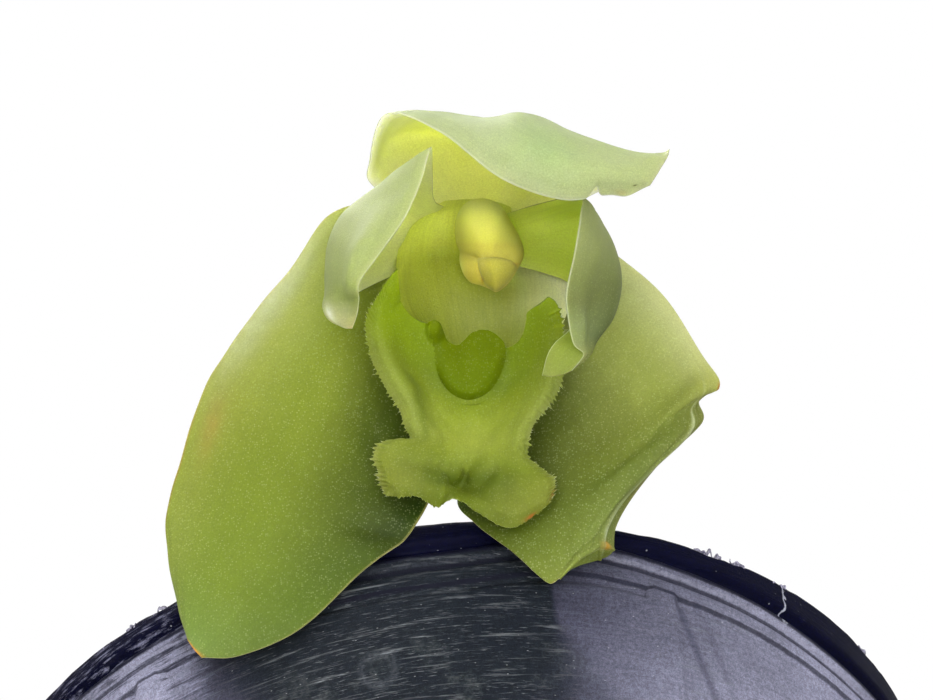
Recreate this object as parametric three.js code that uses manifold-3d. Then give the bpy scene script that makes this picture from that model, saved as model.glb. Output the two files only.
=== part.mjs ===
// A potted orchid with one open, nodding flower that hangs over the rim of a round nursery pot.
// Millimetres, +Z up. The origin is the centre of the pot's base, on the surface that it stands on.
// The flower faces -Y and down. Its organs are given in the flower's own frame, whose x axis runs to
// the right and y axis up as one looks into the flower, and whose z axis points out of its mouth.
import * as THREE from 'three';
import { mergeVertices } from 'three/addons/utils/BufferGeometryUtils.js';
import Module from 'manifold-3d';

const wasm = await Module();
wasm.setup();

// Pot
const POT_HEIGHT = 92;
const RIM_RADIUS = 51.5;
const RIM_BAND = 3.4;
const RIM_WIDTH = 1.6;
const WALL = 1.2;
const WALL_TOP_RADIUS = 50.7;
const BASE_RADIUS = 36;
const LEDGE_DROP = 6.8;
const LEDGE_STEP = 0.5;
const GROOVE_HEIGHT = 1.2;
const GROOVE_SLOPE = 0.4;
const RIM_ROUND = 0.4;
const FLOOR_TOP = 3.2;
const FLOOR_RAISE = 2;
const FOOT_SLOPE = 1.5;
const CENTRE_FOOT_RADIUS = 14;
const FOOT_RING_INNER = 31.5;
const DRAIN_RADIUS = 3.5;
const DRAIN_RING = 23;
const RIB_COUNT = 6;
const RIB_WIDTH = 2.6;
const RIB_RELIEF = 0.35;
const RIB_INSET = 0.1;
const RIB_FOOT = 4;
const POT_SIDES = 72;

// Bark that fills the pot
const BARK_TOP = 79;
const BARK_RELIEF = 1.3;
const BARK_SHOULDER = 2;
const BARK_RINGS = 6;
const BARK_SIDES = 24;
const BARK_CLEARANCE = 0.4;

// Growths on the bark
const BULB_HEIGHT = 42;
const BULB_WIDTH = 27;
const BULB_DEPTH = 17;
const BULB_FURROW = 0.035;
const RHIZOME_RADIUS = 3.6;
const STEM_OVERRUN = 0.01;
const LEAF_WIDTH = 32;
const LEAF_PLEAT = 0.9;
const LEAF_TIP = 1.2;
const LEAF_KEEL = 0.28;
const PLEATED_HALF_WIDTH = 8;

// Flower
const FLOWER_CENTRE = [9.7, -68.9, 109.2];
const NOD = THREE.MathUtils.degToRad(50);
const ROLL = THREE.MathUtils.degToRad(-9.1);
const BLADE = 0.7;
const LIP_THICKNESS = 0.8;
const FRINGE = 0.45;

const GAP = 0.3;

const SKIN = {
  pot: [0x2a2c45, 0.45],
  bark: [0x4a3424, 0.95],
  bulb: [0x8da06a, 0.6],
  rhizome: [0x7c7a4c, 0.8],
  leaf: [0x7d9d72, 0.6],
  stem: [0x94a861, 0.6],
  sepal: [0x9bb054, 0.55],
  petal: [0xaebf73, 0.55],
  lip: [0x8aa52e, 0.5],
  column: [0xcfc054, 0.5],
};

function skin(kind) {
  const [color, roughness] = SKIN[kind];
  return new THREE.MeshStandardMaterial({ color, roughness, metalness: 0 });
}

// Closed solids

function bare(geometry) {
  geometry.deleteAttribute('normal');
  geometry.deleteAttribute('uv');
  return mergeVertices(geometry, 1e-4);
}

function toSolid(geometry) {
  const merged = bare(geometry);
  const solid = new wasm.Manifold(new wasm.Mesh({
    numProp: 3,
    vertProperties: Float32Array.from(merged.attributes.position.array),
    triVerts: Uint32Array.from(merged.index.array),
  }));
  return solid;
}

function toGeometry(solid) {
  const mesh = solid.getMesh();
  const geometry = new THREE.BufferGeometry();
  geometry.setAttribute('position', new THREE.BufferAttribute(mesh.vertProperties, 3));
  geometry.setIndex(new THREE.BufferAttribute(mesh.triVerts, 1));
  return geometry;
}

function named(name, geometry, kind) {
  geometry.computeVertexNormals();
  const mesh = new THREE.Mesh(geometry, skin(kind));
  mesh.name = name;
  return mesh;
}

const vector = (place) => new THREE.Vector3(...place);

function curveThrough(places) {
  return new THREE.CatmullRomCurve3(places.map(vector), false, 'catmullrom', 0.5);
}

// A tube of changing thickness: a cylinder whose rings are carried along a curve.
// Each ring is across wide to either side and deep the other way.
function tube(places, sizes, sides, steps, reference) {
  const path = curveThrough(places);
  const across = curveThrough(sizes.map(([wide, deep]) => [wide, deep, 0]));
  const geometry = new THREE.CylinderGeometry(1, 1, 1, sides, steps);
  const position = geometry.attributes.position;
  const sideways = vector(reference);
  for (let i = 0; i < position.count; i += 1) {
    const t = THREE.MathUtils.clamp(position.getY(i) + 0.5, 0, 1);
    const tangent = path.getTangent(t);
    const wide = sideways.clone().addScaledVector(tangent, -sideways.dot(tangent)).normalize();
    const deep = new THREE.Vector3().crossVectors(wide, tangent);
    const size = across.getPoint(t);
    const place = path.getPoint(t);
    place.addScaledVector(wide, position.getX(i) * size.x);
    place.addScaledVector(deep, position.getZ(i) * size.y);
    position.setXYZ(i, place.x, place.y, place.z);
  }
  return geometry;
}

// The same route with both ends moved out along it.
function lengthened(places, by) {
  const ends = [[places[0], places[1]], [places.at(-1), places.at(-2)]];
  const [first, last] = ends.map(([end, next]) => {
    const outward = vector(end).sub(vector(next)).setLength(by);
    return vector(end).add(outward).toArray();
  });
  return [first, ...places.slice(1, -1), last];
}

// A blade from a grid of places on its middle surface: the grid is moved half the thickness each way
// along its own normals, both faces are split alike and the margin is closed all round.
function sheet(grid, thickness) {
  const rows = grid.length;
  const columns = grid[0].length;
  const faces = [[], []];
  for (let i = 0; i < rows; i += 1) {
    for (let j = 0; j < columns; j += 1) {
      const along = grid[Math.min(i + 1, rows - 1)][j].clone().sub(grid[Math.max(i - 1, 0)][j]);
      const over = grid[i][Math.min(j + 1, columns - 1)].clone().sub(grid[i][Math.max(j - 1, 0)]);
      const normal = new THREE.Vector3().crossVectors(over, along).normalize();
      faces[0].push(grid[i][j].clone().addScaledVector(normal, thickness / 2));
      faces[1].push(grid[i][j].clone().addScaledVector(normal, -thickness / 2));
    }
  }
  const places = [...faces[0], ...faces[1]];
  const back = rows * columns;
  const triangles = [];
  const cell = (a, b, c, d) => triangles.push(a, b, c, a, c, d);
  for (let i = 0; i < rows - 1; i += 1) {
    for (let j = 0; j < columns - 1; j += 1) {
      const a = i * columns + j;
      const b = a + 1;
      const c = a + columns + 1;
      const d = a + columns;
      triangles.push(a, b, c, a, c, d);
      triangles.push(back + a, back + c, back + b, back + a, back + d, back + c);
    }
  }
  const margin = [];
  for (let j = 0; j < columns - 1; j += 1) margin.push(j);
  for (let i = 0; i < rows - 1; i += 1) margin.push(i * columns + columns - 1);
  for (let j = columns - 1; j > 0; j -= 1) margin.push((rows - 1) * columns + j);
  for (let i = rows - 1; i > 0; i -= 1) margin.push(i * columns);
  margin.forEach((a, k) => {
    const b = margin[(k + 1) % margin.length];
    cell(b, a, back + a, back + b);
  });
  const geometry = new THREE.BufferGeometry();
  const position = new Float32Array(places.flatMap((place) => place.toArray()));
  geometry.setAttribute('position', new THREE.BufferAttribute(position, 3));
  geometry.setIndex(triangles);
  return geometry;
}

// The grid of an organ given as a net: rows from base to tip, each running from one margin to the other.
function netGrid(net, rows, columns) {
  const lengthwise = net[0].map((_, k) => curveThrough(net.map((row) => row[k])));
  return Array.from({ length: rows + 1 }, (_, i) => {
    const cross = lengthwise.map((curve) => curve.getPoint(i / rows).toArray());
    const curve = curveThrough(cross);
    return Array.from({ length: columns + 1 }, (_, j) => curve.getPoint(j / columns));
  });
}

// Every second place on both margins moved out, which cuts the margin into teeth.
function cutTeeth(grid, depth, first, last) {
  grid.forEach((row, i) => {
    const share = i / (grid.length - 1);
    if (i % 2 === 0 || share < first || share > last) return;
    const end = row.length - 1;
    row[0].add(row[0].clone().sub(row[1]).setLength(depth));
    row[end].add(row[end].clone().sub(row[end - 1]).setLength(depth));
  });
  return grid;
}

// Pot

function wallRadius(height) {
  const share = height / (POT_HEIGHT - RIM_BAND);
  return BASE_RADIUS + (WALL_TOP_RADIUS - BASE_RADIUS) * share;
}

function lathe(profile, sides) {
  const points = profile.map(([radius, height]) => new THREE.Vector2(radius, height));
  return new THREE.LatheGeometry(points, sides).rotateX(Math.PI / 2);
}

function potShell() {
  const bandFoot = POT_HEIGHT - RIM_BAND;
  const ledge = POT_HEIGHT - LEDGE_DROP;
  const lower = ledge - GROOVE_HEIGHT;
  const profile = [
    [0, 0],
    [CENTRE_FOOT_RADIUS, 0],
    [CENTRE_FOOT_RADIUS + FOOT_SLOPE, FLOOR_RAISE],
    [FOOT_RING_INNER - FOOT_SLOPE, FLOOR_RAISE],
    [FOOT_RING_INNER, 0],
    [BASE_RADIUS - FOOT_SLOPE, 0],
    [BASE_RADIUS, FOOT_SLOPE],
    [wallRadius(lower), lower],
    [wallRadius(lower) - LEDGE_STEP, lower + GROOVE_SLOPE],
    [wallRadius(ledge) - LEDGE_STEP, ledge - GROOVE_SLOPE],
    [wallRadius(ledge), ledge],
    [wallRadius(bandFoot) - LEDGE_STEP / 2, bandFoot - GROOVE_HEIGHT],
    [wallRadius(bandFoot) - LEDGE_STEP, bandFoot - GROOVE_SLOPE],
    [RIM_RADIUS - RIM_ROUND, bandFoot],
    [RIM_RADIUS, bandFoot + RIM_ROUND],
    [RIM_RADIUS, POT_HEIGHT - RIM_ROUND],
    [RIM_RADIUS - RIM_ROUND, POT_HEIGHT],
    [RIM_RADIUS - RIM_WIDTH, POT_HEIGHT],
    [WALL_TOP_RADIUS - LEDGE_STEP - WALL, bandFoot - GROOVE_HEIGHT],
    [wallRadius(lower) - LEDGE_STEP - WALL, lower],
    [wallRadius(FLOOR_TOP) - WALL, FLOOR_TOP],
    [0, FLOOR_TOP],
  ];
  return toSolid(lathe(profile, POT_SIDES));
}

function drainHole(angle) {
  const cutter = new THREE.CylinderGeometry(DRAIN_RADIUS, DRAIN_RADIUS, 3 * FLOOR_TOP, 16);
  cutter.rotateX(Math.PI / 2);
  cutter.translate(DRAIN_RING * Math.cos(angle), DRAIN_RING * Math.sin(angle), 0);
  return toSolid(cutter);
}

// A flat rib that leans with the wall and bridges the groove under the rim.
function potRib(angle) {
  const foot = RIB_FOOT;
  const head = POT_HEIGHT - LEDGE_DROP + 1;
  const depth = 2 * RIB_RELIEF;
  const lean = Math.atan2(wallRadius(head) - wallRadius(foot), head - foot);
  const rib = new THREE.BoxGeometry(depth, RIB_WIDTH, (head - foot) / Math.cos(lean));
  rib.rotateY(lean);
  rib.translate((wallRadius(foot) + wallRadius(head)) / 2 - RIB_INSET, 0, (foot + head) / 2);
  rib.rotateZ(angle);
  return toSolid(rib);
}

function makePot() {
  let solid = potShell();
  for (let k = 0; k < RIB_COUNT; k += 1) {
    const angle = (k + 0.5) * (2 * Math.PI / RIB_COUNT) - Math.PI / 2;
    solid = solid.add(potRib(angle));
    solid = solid.subtract(drainHole(angle));
  }
  return named('pot', toGeometry(solid), 'pot');
}

// Growths

const BULBS = [
  { place: [9, 3], turn: 0.3, lean: -0.1 },
  { place: [-18, 10], turn: 1.0, lean: 0.12 },
  { place: [20, 25], turn: -0.5, lean: -0.16 },
];
const BULB_FOOT = BARK_TOP + 2 * GAP;

function bulbGeometry({ place, turn, lean }, grow) {
  const profile = [[0, 0], [3.2, 0], [8.4, 3.6], [12.2, 10], [13.5, 18], [12.2, 26], [8.8, 33.5],
    [4.4, 39.4], [2.2, BULB_HEIGHT], [0, BULB_HEIGHT]];
  const widest = BULB_WIDTH / 2;
  const shape = profile.map(([radius, height]) => [radius / widest, height]);
  const geometry = lathe(shape, 16);
  const position = geometry.attributes.position;
  for (let i = 0; i < position.count; i += 1) {
    const angle = Math.atan2(position.getY(i), position.getX(i));
    const furrow = 1 + BULB_FURROW * Math.cos(5 * angle);
    position.setX(i, position.getX(i) * furrow * (BULB_WIDTH / 2 + grow));
    position.setY(i, position.getY(i) * furrow * (BULB_DEPTH / 2 + grow));
    position.setZ(i, position.getZ(i) - (grow > 0 && position.getZ(i) < 1 ? grow : 0));
  }
  geometry.rotateX(lean).rotateZ(turn);
  return geometry.translate(place[0], place[1], BULB_FOOT);
}

function bulbTop({ place, turn, lean }) {
  const top = new THREE.Vector3(0, 0, BULB_HEIGHT);
  top.applyAxisAngle(new THREE.Vector3(1, 0, 0), lean);
  top.applyAxisAngle(new THREE.Vector3(0, 0, 1), turn);
  return top.add(new THREE.Vector3(place[0], place[1], BULB_FOOT));
}

function rhizomeGeometry(grow) {
  const height = BULB_FOOT - 2 * GAP - RHIZOME_RADIUS;
  const places = [[17, -7, height], [9, 2, height], [-4, 9, height], [-18, 10, height],
    [-26, 18, height]];
  const thick = RHIZOME_RADIUS + grow;
  const route = lengthened(places, grow + STEM_OVERRUN);
  return tube(route, places.map(() => [thick, thick]), 8, 12, [0, 0, 1]);
}

function backRhizomeGeometry(grow) {
  const height = BULB_FOOT - 2 * GAP - RHIZOME_RADIUS;
  const places = [[2, 6, height], [10, 15, height], [20, 25, height], [27, 30, height]];
  const thick = RHIZOME_RADIUS + grow;
  const route = lengthened(places, grow + STEM_OVERRUN);
  return tube(route, places.map(() => [thick, thick]), 8, 8, [0, 0, 1]);
}

function rhizomeSolid(grow) {
  return toSolid(rhizomeGeometry(grow)).add(toSolid(backRhizomeGeometry(grow)));
}

const SCAPE_PATH = [
  [13, -6.5, BULB_FOOT], [15, -11, 92], [15.5, -17, 107], [15, -27, 121], [14, -38, 129.5],
  [13.4, -47, 130.5], [12.9, -55.6, 125.6],
];

function scapeGeometry(grow) {
  const sizes = [2.2, 1.9, 1.6, 1.5, 1.5, 1.6, 1.8].map((size) => [size + grow, size + grow]);
  return tube(lengthened(SCAPE_PATH, grow + STEM_OVERRUN), sizes, 8, 20, [1, 0, 0]);
}

// A sheath round the scape: a short cone that opens upwards along it.
function scapeSheath(from, length) {
  const path = curveThrough(SCAPE_PATH);
  const places = [0, 0.5, 1].map((share) => path.getPoint(from + share * length).toArray());
  return toSolid(tube(places, [[1.9, 1.9], [2.5, 2.4], [2.1, 2.1]], 8, 3, [1, 0, 0]));
}

function makeScape() {
  let solid = toSolid(scapeGeometry(0));
  [0.06, 0.26, 0.48].forEach((from) => {
    solid = solid.add(scapeSheath(from, 0.11));
  });
  solid = solid.add(toSolid(sheet(netGrid(FLORAL_BRACT, 6, 4), BLADE)));
  return named('scape', toGeometry(solid), 'stem');
}

const FLORAL_BRACT = [
  [[11.8, -45.5, 130.4], [13.5, -45.5, 131.7], [15.2, -45.5, 130.4]],
  [[10.3, -53, 130.4], [13.2, -52.5, 132.2], [15.8, -53, 130.4]],
  [[10.4, -59.5, 126.2], [12.9, -59.2, 127.9], [15.3, -59.5, 126.2]],
  [[12.2, -64.5, 120.5], [12.8, -64.6, 121], [13.4, -64.5, 120.5]],
];

function barkTopHeight(x, y) {
  const broad = Math.sin(0.31 * x + 1.3) * Math.cos(0.27 * y);
  const fine = Math.sin(0.57 * (x - y));
  return BARK_RELIEF * (0.6 * broad + 0.4 * fine);
}

function makeBark() {
  const clear = WALL + LEDGE_STEP + GAP;
  const shoulder = BARK_TOP - BARK_SHOULDER;
  const topRadius = wallRadius(shoulder) - clear;
  const profile = [[0, FLOOR_TOP + GAP], [wallRadius(FLOOR_TOP) - clear, FLOOR_TOP + GAP]];
  profile.push([topRadius, shoulder]);
  for (let k = BARK_RINGS; k >= 0; k -= 1) {
    profile.push([(topRadius - BARK_SHOULDER) * (k / BARK_RINGS), BARK_TOP]);
  }
  const geometry = bare(lathe(profile, BARK_SIDES));
  const position = geometry.attributes.position;
  for (let i = 0; i < position.count; i += 1) {
    if (position.getZ(i) < BARK_TOP - 0.1) continue;
    position.setZ(i, BARK_TOP + barkTopHeight(position.getX(i), position.getY(i)));
  }
  let growths = rhizomeSolid(BARK_CLEARANCE).add(toSolid(scapeGeometry(BARK_CLEARANCE)));
  BULBS.forEach((bulb) => {
    growths = growths.add(toSolid(bulbGeometry(bulb, BARK_CLEARANCE)));
  });
  return named('bark_medium', toGeometry(toSolid(geometry).subtract(growths)), 'bark');
}

// Leaves: a folded stalk that widens into a pleated blade and arches over backwards.
const LEAVES = [
  {
    bulb: 0,
    start: [-1.9, 1.2],
    route: [[2, 10, 23], [4, 32, 43], [3, 66, 52], [-1, 100, 40], [-4, 118, 22]],
  },
  {
    bulb: 0,
    start: [2, -1.2],
    route: [[6, 7, 18], [14, 25, 33], [22, 52, 42], [29, 80, 36], [32, 97, 22]],
  },
  {
    bulb: 1,
    start: [-1.7, -1.2],
    route: [[-5, 8, 17], [-13, 26, 31], [-23, 52, 38], [-31, 80, 31], [-34, 96, 18]],
  },
  {
    bulb: 1,
    start: [1.7, 1.2],
    route: [[-1, 10, 22], [-5, 31, 44], [-10, 60, 58], [-15, 92, 52], [-18, 112, 36]],
  },
];
const LEAF_SHARE = [0.1, 0.13, 0.2, 0.55, 0.88, 1, 0.96, 0.78, 0.46, 0.05];

function leafHalfWidth(t) {
  const widths = curveThrough(LEAF_SHARE.map((share) => [share, 0, 0]));
  return Math.max(LEAF_TIP, widths.getPoint(t).x * LEAF_WIDTH / 2);
}

function leafGrid({ bulb, start, route }, rows, columns) {
  const top = bulbTop(BULBS[bulb]);
  const foot = new THREE.Vector3(start[0], start[1], 3 * GAP).add(top);
  const places = route.map((step) => vector(step).add(foot).toArray());
  const path = curveThrough([foot.toArray(), ...places]);
  return Array.from({ length: rows + 1 }, (_, i) => {
    const t = i / rows;
    const tangent = path.getTangent(t);
    const side = new THREE.Vector3(-tangent.y, tangent.x, 0).normalize();
    const over = new THREE.Vector3().crossVectors(tangent, side);
    const half = leafHalfWidth(t);
    const pleat = LEAF_PLEAT * Math.min(1, half / PLEATED_HALF_WIDTH);
    return Array.from({ length: columns + 1 }, (_, j) => {
      const share = 2 * j / columns - 1;
      const lift = (j % 2 ? pleat : -pleat) + LEAF_KEEL * Math.abs(share) * half;
      return path.getPoint(t).addScaledVector(side, share * half).addScaledVector(over, -lift);
    });
  });
}

// Flower

const DORSAL_SEPAL = [
  [[0.9, 3.9, -5.5], [1.8, 4.3, -6.5], [2.9, 4.6, -7], [4, 4.3, -6.5], [4.9, 3.9, -5.5]],
  [[-7.2, 7.6, -6.8], [-3.6, 9.6, -9.6], [2.1, 9.8, -11.5], [6.4, 8.7, -11], [8.1, 5.3, -8]],
  [[-7.7, 10.2, -3.6], [-5.4, 13, -8.5], [0.1, 13.6, -11.5], [7.7, 12.4, -12], [11.7, 5.8, -10]],
  [[-5.9, 14.1, 2.5], [-2.3, 14.6, -3], [3.1, 14.1, -8], [10.8, 12, -10.5], [15, 7.4, -9.5]],
  [[-0.7, 12, 6.5], [1.5, 13.7, 2], [7, 13.8, -4], [13.6, 11.2, -7.5], [17.5, 7.9, -7.5]],
  [[4.9, 7.5, 9.5], [6, 11.1, 8], [7.9, 13.5, 2], [14.2, 11.1, -3.5], [18.5, 8.3, -5]],
  [[10.5, 5.5, 9.5], [11, 9, 9.5], [12.3, 11.6, 5], [16.2, 10.6, -0.5], [19.3, 8.9, -3]],
  [[14.7, 6, 8.5], [15.4, 8.2, 9], [16.4, 10.1, 6], [18.2, 10.1, 3], [20, 9.6, 0]],
  [[19, 7, 8], [19.7, 8.1, 8], [20.3, 9.1, 8], [20.7, 9.8, 7], [20.9, 10.5, 6]],
];

const PETAL_LEFT = [
  [[0.3, 4.4, -3.7], [-0.5, 1.8, -4.5], [-0.5, 0, -4.5]],
  [[-1.1, 5.8, -1], [-3.3, 3.9, -6], [-3.3, -0.4, -4.8]],
  [[-1.5, 8.5, 3], [-6, 4.8, -5.2], [-5.5, -1.2, -3.4]],
  [[-1.5, 10.5, 7], [-8.8, 4.5, -3], [-7.4, -2.2, -0.5]],
  [[-2.2, 6.7, 9.5], [-10.4, 3.6, 0], [-8.9, -3.2, 2.4]],
  [[-4, 3.7, 10.5], [-11.1, 1.1, 2.5], [-9.2, -4, 4.4]],
  [[-6.2, 0.5, 11], [-11.5, -1.9, 4.5], [-9.3, -4.7, 6.2]],
  [[-8.1, -2.6, 11.2], [-11.3, -4.2, 7.6], [-9.9, -5.6, 6.8]],
  [[-8.3, -4.9, 10.4], [-9.5, -5.8, 9.4], [-9.7, -6.6, 8.3]],
];

const PETAL_RIGHT = [
  [[6.1, 3.6, -3.8], [6.4, 1.8, -4.5], [6.2, 0.2, -4.5]],
  [[9.4, 5.6, -1], [9.1, 3.9, -6], [7.1, -0.2, -4.8]],
  [[12.6, 5.7, 4.5], [13, 4.1, -5], [9, -1, -4.8]],
  [[12.3, 3.5, 7.5], [15.2, 2, -3], [11.4, -1.6, -3.2]],
  [[11.6, 0.2, 9.5], [16.4, -0.6, 0], [12.6, -3, 0.5]],
  [[10.9, -3.1, 10.5], [16.3, -3.2, 3], [12.2, -5, 4]],
  [[11.3, -5.9, 10.8], [15.2, -6.2, 6.6], [11, -7.2, 6.2]],
  [[11.7, -8.1, 11], [13.1, -8.9, 8.6], [9.9, -9.1, 7.4]],
  [[11.4, -9.7, 11], [10.5, -10.7, 9.4], [8.7, -10.7, 8.4]],
];

const LATERAL_SEPAL_LEFT = [
  [[0.3, 2.6, -7.6], [0.3, 0.2, -7.4], [0.9, -2, -7]],
  [[-6.4, 6, -8.8], [-5.3, -2.5, -6.8], [-0.8, -8.5, -6.2]],
  [[-11.8, 5.1, -7.5], [-9.7, -5.6, -4.5], [-1.1, -15.4, -4.2]],
  [[-15.7, -0.4, -6], [-12.7, -11.5, -2.5], [-1.2, -20.2, -1.5]],
  [[-20.5, -6.5, -4.5], [-15.3, -17.2, -0.3], [-1.9, -23.2, 1.6]],
  [[-23.9, -12.4, -3], [-18.1, -22, 1.5], [-4, -26.1, 4.6]],
  [[-26.3, -20.2, -1], [-20.6, -27.1, 3.6], [-8.2, -29.4, 6.6]],
  [[-27.3, -26.3, 1.5], [-22.6, -31.4, 6], [-13.7, -34.5, 8.8]],
  [[-25.7, -32.7, 4.8], [-23.6, -34.8, 7], [-19.3, -37, 9]],
  [[-24.4, -35.8, 7], [-23.7, -36.6, 7.8], [-23, -37.2, 8.5]],
];

const LATERAL_SEPAL_RIGHT = [
  [[5.3, 2.6, -7.6], [5.3, 0.2, -7.4], [4.7, -2, -7]],
  [[11.6, 4.6, -8.6], [9.1, -3.5, -6.7], [4.3, -8.5, -6.2]],
  [[16.9, 0.9, -7.5], [13.5, -7.5, -5], [3.6, -14.4, -4.2]],
  [[21.2, -3.1, -6.5], [15.9, -11, -3.2], [2.7, -19.2, -1.5]],
  [[24.9, -8.7, -5], [17.7, -14.4, -1], [1.9, -23.4, 1.6]],
  [[26.3, -11.8, -3.5], [18.2, -16.9, 0.8], [2.7, -25.2, 3.8]],
  [[24.4, -13.8, -1.5], [17.6, -19.4, 2.6], [4.4, -26.3, 5.2]],
  [[23.2, -16.6, 0.3], [16.6, -21.8, 4.2], [6.3, -27.5, 6.1]],
  [[20.6, -19.6, 1.9], [15.3, -23.9, 5.2], [8.2, -29.4, 7.1]],
  [[17.4, -23.2, 3.8], [14.2, -26.2, 6.2], [9.9, -30.3, 7.8]],
  [[15.9, -25.6, 4.8], [14.4, -27.3, 6.2], [12.4, -28.9, 7.2]],
];

// The column's broad foot, from under its end down to where the lip is hinged.
const COLUMN_FOOT = [
  [[-4.8, -0.4, 0], [-2, 0.8, -2.6], [2.3, 0.5, -4], [7, -0.3, -3], [9.6, -1.6, 0]],
  [[-4.8, -2.7, 0], [-2, -2.6, -2.6], [2.3, -2.8, -4.2], [7, -2.8, -2.8], [9.6, -3.4, 0]],
  [[-4.5, -4.8, -0.2], [-1.6, -5.4, -2.6], [2.3, -5.8, -4], [6.4, -5.6, -2.8], [9.3, -5.2, -0.2]],
  [[-2.9, -6.2, -0.8], [-0.8, -7.5, -2.4], [2.5, -8.7, -2.9], [5.9, -7.9, -2.6], [8.4, -6.8, -0.4]],
];

const LIP = [
  [[-4.8, -0.7, 5], [-4.2, -3.9, 2.5], [-1, -6.4, 0], [2.3, -8.7, -1.7], [5.3, -8.1, 0], [7.5, -5.3, 2],
    [9.5, -3.5, 4]],
  [[-6.1, -2.5, 4.4], [-4.8, -5.8, 1.5], [-1.6, -8.5, -0.6], [2.1, -10.7, -1.5], [5.6, -9.7, -0.6],
    [8.2, -7.4, 1.2], [10.2, -5.1, 3.6]],
  [[-7.4, -3.8, 3.6], [-5.1, -7.6, 1], [-1.7, -10.7, -0.4], [2.1, -12.2, -0.8], [5.8, -11.4, -0.4],
    [8.3, -9.3, 0.8], [10.6, -7.8, 3.2]],
  [[-7.6, -7.4, 3.4], [-5, -10, 1], [-1.5, -12.4, 0.6], [2.1, -13.5, 0.5], [5.8, -13, 0.6],
    [8.1, -11.4, 1], [10.4, -10.6, 3.2]],
  [[-6.4, -11.6, 3.2], [-3.8, -13.1, 1.8], [-0.8, -14.1, 2], [2.1, -14.9, 1.8], [5, -14.5, 2],
    [7.3, -13.7, 1.8], [9.9, -13, 3.2]],
  [[-4.7, -14.3, 3], [-2.7, -15.2, 2.8], [-0.4, -15.8, 3.3], [1.9, -16.4, 3], [4.2, -16.2, 3.3],
    [6.3, -15.6, 2.8], [8.4, -14.9, 3]],
  [[-3.8, -16.9, 3.4], [-2.3, -17.3, 3.9], [-0.2, -17.8, 4.6], [1.9, -18.2, 4.2], [4, -18, 4.6],
    [5.9, -17.5, 3.9], [7.6, -16.9, 3.4]],
  [[-6.8, -17.8, 3.8], [-4.3, -18.4, 4.9], [-1.3, -19.3, 5.6], [1.8, -19.9, 4.8], [4.6, -19.9, 5.8],
    [7.2, -19.5, 5.2], [9.3, -19.6, 4.2]],
  [[-6.6, -20.5, 4.4], [-4.3, -20.6, 5.8], [-1.5, -21.1, 6.5], [1.4, -21.6, 5.4], [4.2, -22.2, 7],
    [7.2, -22.1, 6.6], [10, -21.5, 5.2]],
  [[-6, -22.3, 5.2], [-4.1, -22.6, 6.2], [-1.6, -22.9, 6.8], [0.6, -22.4, 6.2], [3.4, -24.4, 8],
    [5.9, -25.1, 8], [8.7, -23.7, 6.4]],
];

const COLUMN_LINE = [[2.8, 1.2, -7.2], [3, 2.3, -3], [3.3, 2.8, 1.5], [3.7, 2.4, 5.5], [4.2, 1.1, 8.6],
  [4.7, -0.6, 10.4]];
const COLUMN_SIZES = [[2.3, 2.2], [2.4, 2.3], [2.8, 2.5], [3.1, 2.8], [2.9, 2.6], [2, 1.8]];
const CAP_PLACE = [4.9, -1.6, 11];
const CAP_SIZE = [1.9, 1.6, 1.4];
const CALLUS_PLACE = [2.1, -10.7, 0.1];
const CALLUS_SIZE = [3.2, 3.4, 1.1];
const OVARY_LINE = [[2.8, 1.2, -7.9], [2.9, 1, -12], [3, 0.8, -16], [3, 0.8, -19.6]];
const OVARY_SIZES = [[1.9, 1.8], [2.3, 2.2], [2, 2], [1.6, 1.6]];

function ball([x, y, z], [wide, high, deep], grow) {
  const geometry = new THREE.SphereGeometry(1, 16, 10);
  geometry.scale(wide + grow, high + grow, deep + grow).translate(x, y, z);
  return toSolid(geometry);
}

function makeColumn() {
  const stalk = toSolid(tube(COLUMN_LINE, COLUMN_SIZES, 14, 10, [1, 0, 0]));
  const foot = toSolid(sheet(netGrid(COLUMN_FOOT, 8, 8), BLADE));
  const solid = stalk.add(foot).subtract(ball(CAP_PLACE, CAP_SIZE, GAP));
  return named('column', toGeometry(solid), 'column');
}

function makeLip() {
  const grid = cutTeeth(netGrid(LIP, 28, 10), FRINGE, 0.2, 1);
  const solid = toSolid(sheet(grid, LIP_THICKNESS)).add(ball(CALLUS_PLACE, CALLUS_SIZE, 0));
  return named('lip', toGeometry(solid), 'lip');
}

function makeOvary() {
  return named('ovary', bare(tube(OVARY_LINE, OVARY_SIZES, 12, 8, [1, 0, 0])), 'stem');
}

function blade(name, net, rows, columns, kind) {
  return named(name, sheet(netGrid(net, rows, columns), BLADE), kind);
}

function makeFlower() {
  const right = new THREE.Vector3(1, 0, 0);
  const up = new THREE.Vector3(0, -Math.sin(NOD), Math.cos(NOD));
  const across = right.clone().multiplyScalar(Math.cos(ROLL)).addScaledVector(up, Math.sin(ROLL));
  const upward = right.clone().multiplyScalar(-Math.sin(ROLL)).addScaledVector(up, Math.cos(ROLL));
  const outward = new THREE.Vector3().crossVectors(across, upward);
  const flower = new THREE.Group();
  flower.quaternion.setFromRotationMatrix(new THREE.Matrix4().makeBasis(across, upward, outward));
  flower.position.set(...FLOWER_CENTRE);
  flower.add(blade('dorsal_sepal', DORSAL_SEPAL, 18, 12, 'petal'));
  flower.add(blade('petal_left', PETAL_LEFT, 14, 8, 'petal'));
  flower.add(blade('petal_right', PETAL_RIGHT, 14, 8, 'petal'));
  flower.add(blade('lateral_sepal_left', LATERAL_SEPAL_LEFT, 16, 8, 'sepal'));
  flower.add(blade('lateral_sepal_right', LATERAL_SEPAL_RIGHT, 16, 8, 'sepal'));
  flower.add(makeColumn());
  flower.add(named('anther_cap', toGeometry(ball(CAP_PLACE, CAP_SIZE, 0)), 'column'));
  flower.add(makeLip());
  flower.add(makeOvary());
  return flower;
}

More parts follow.
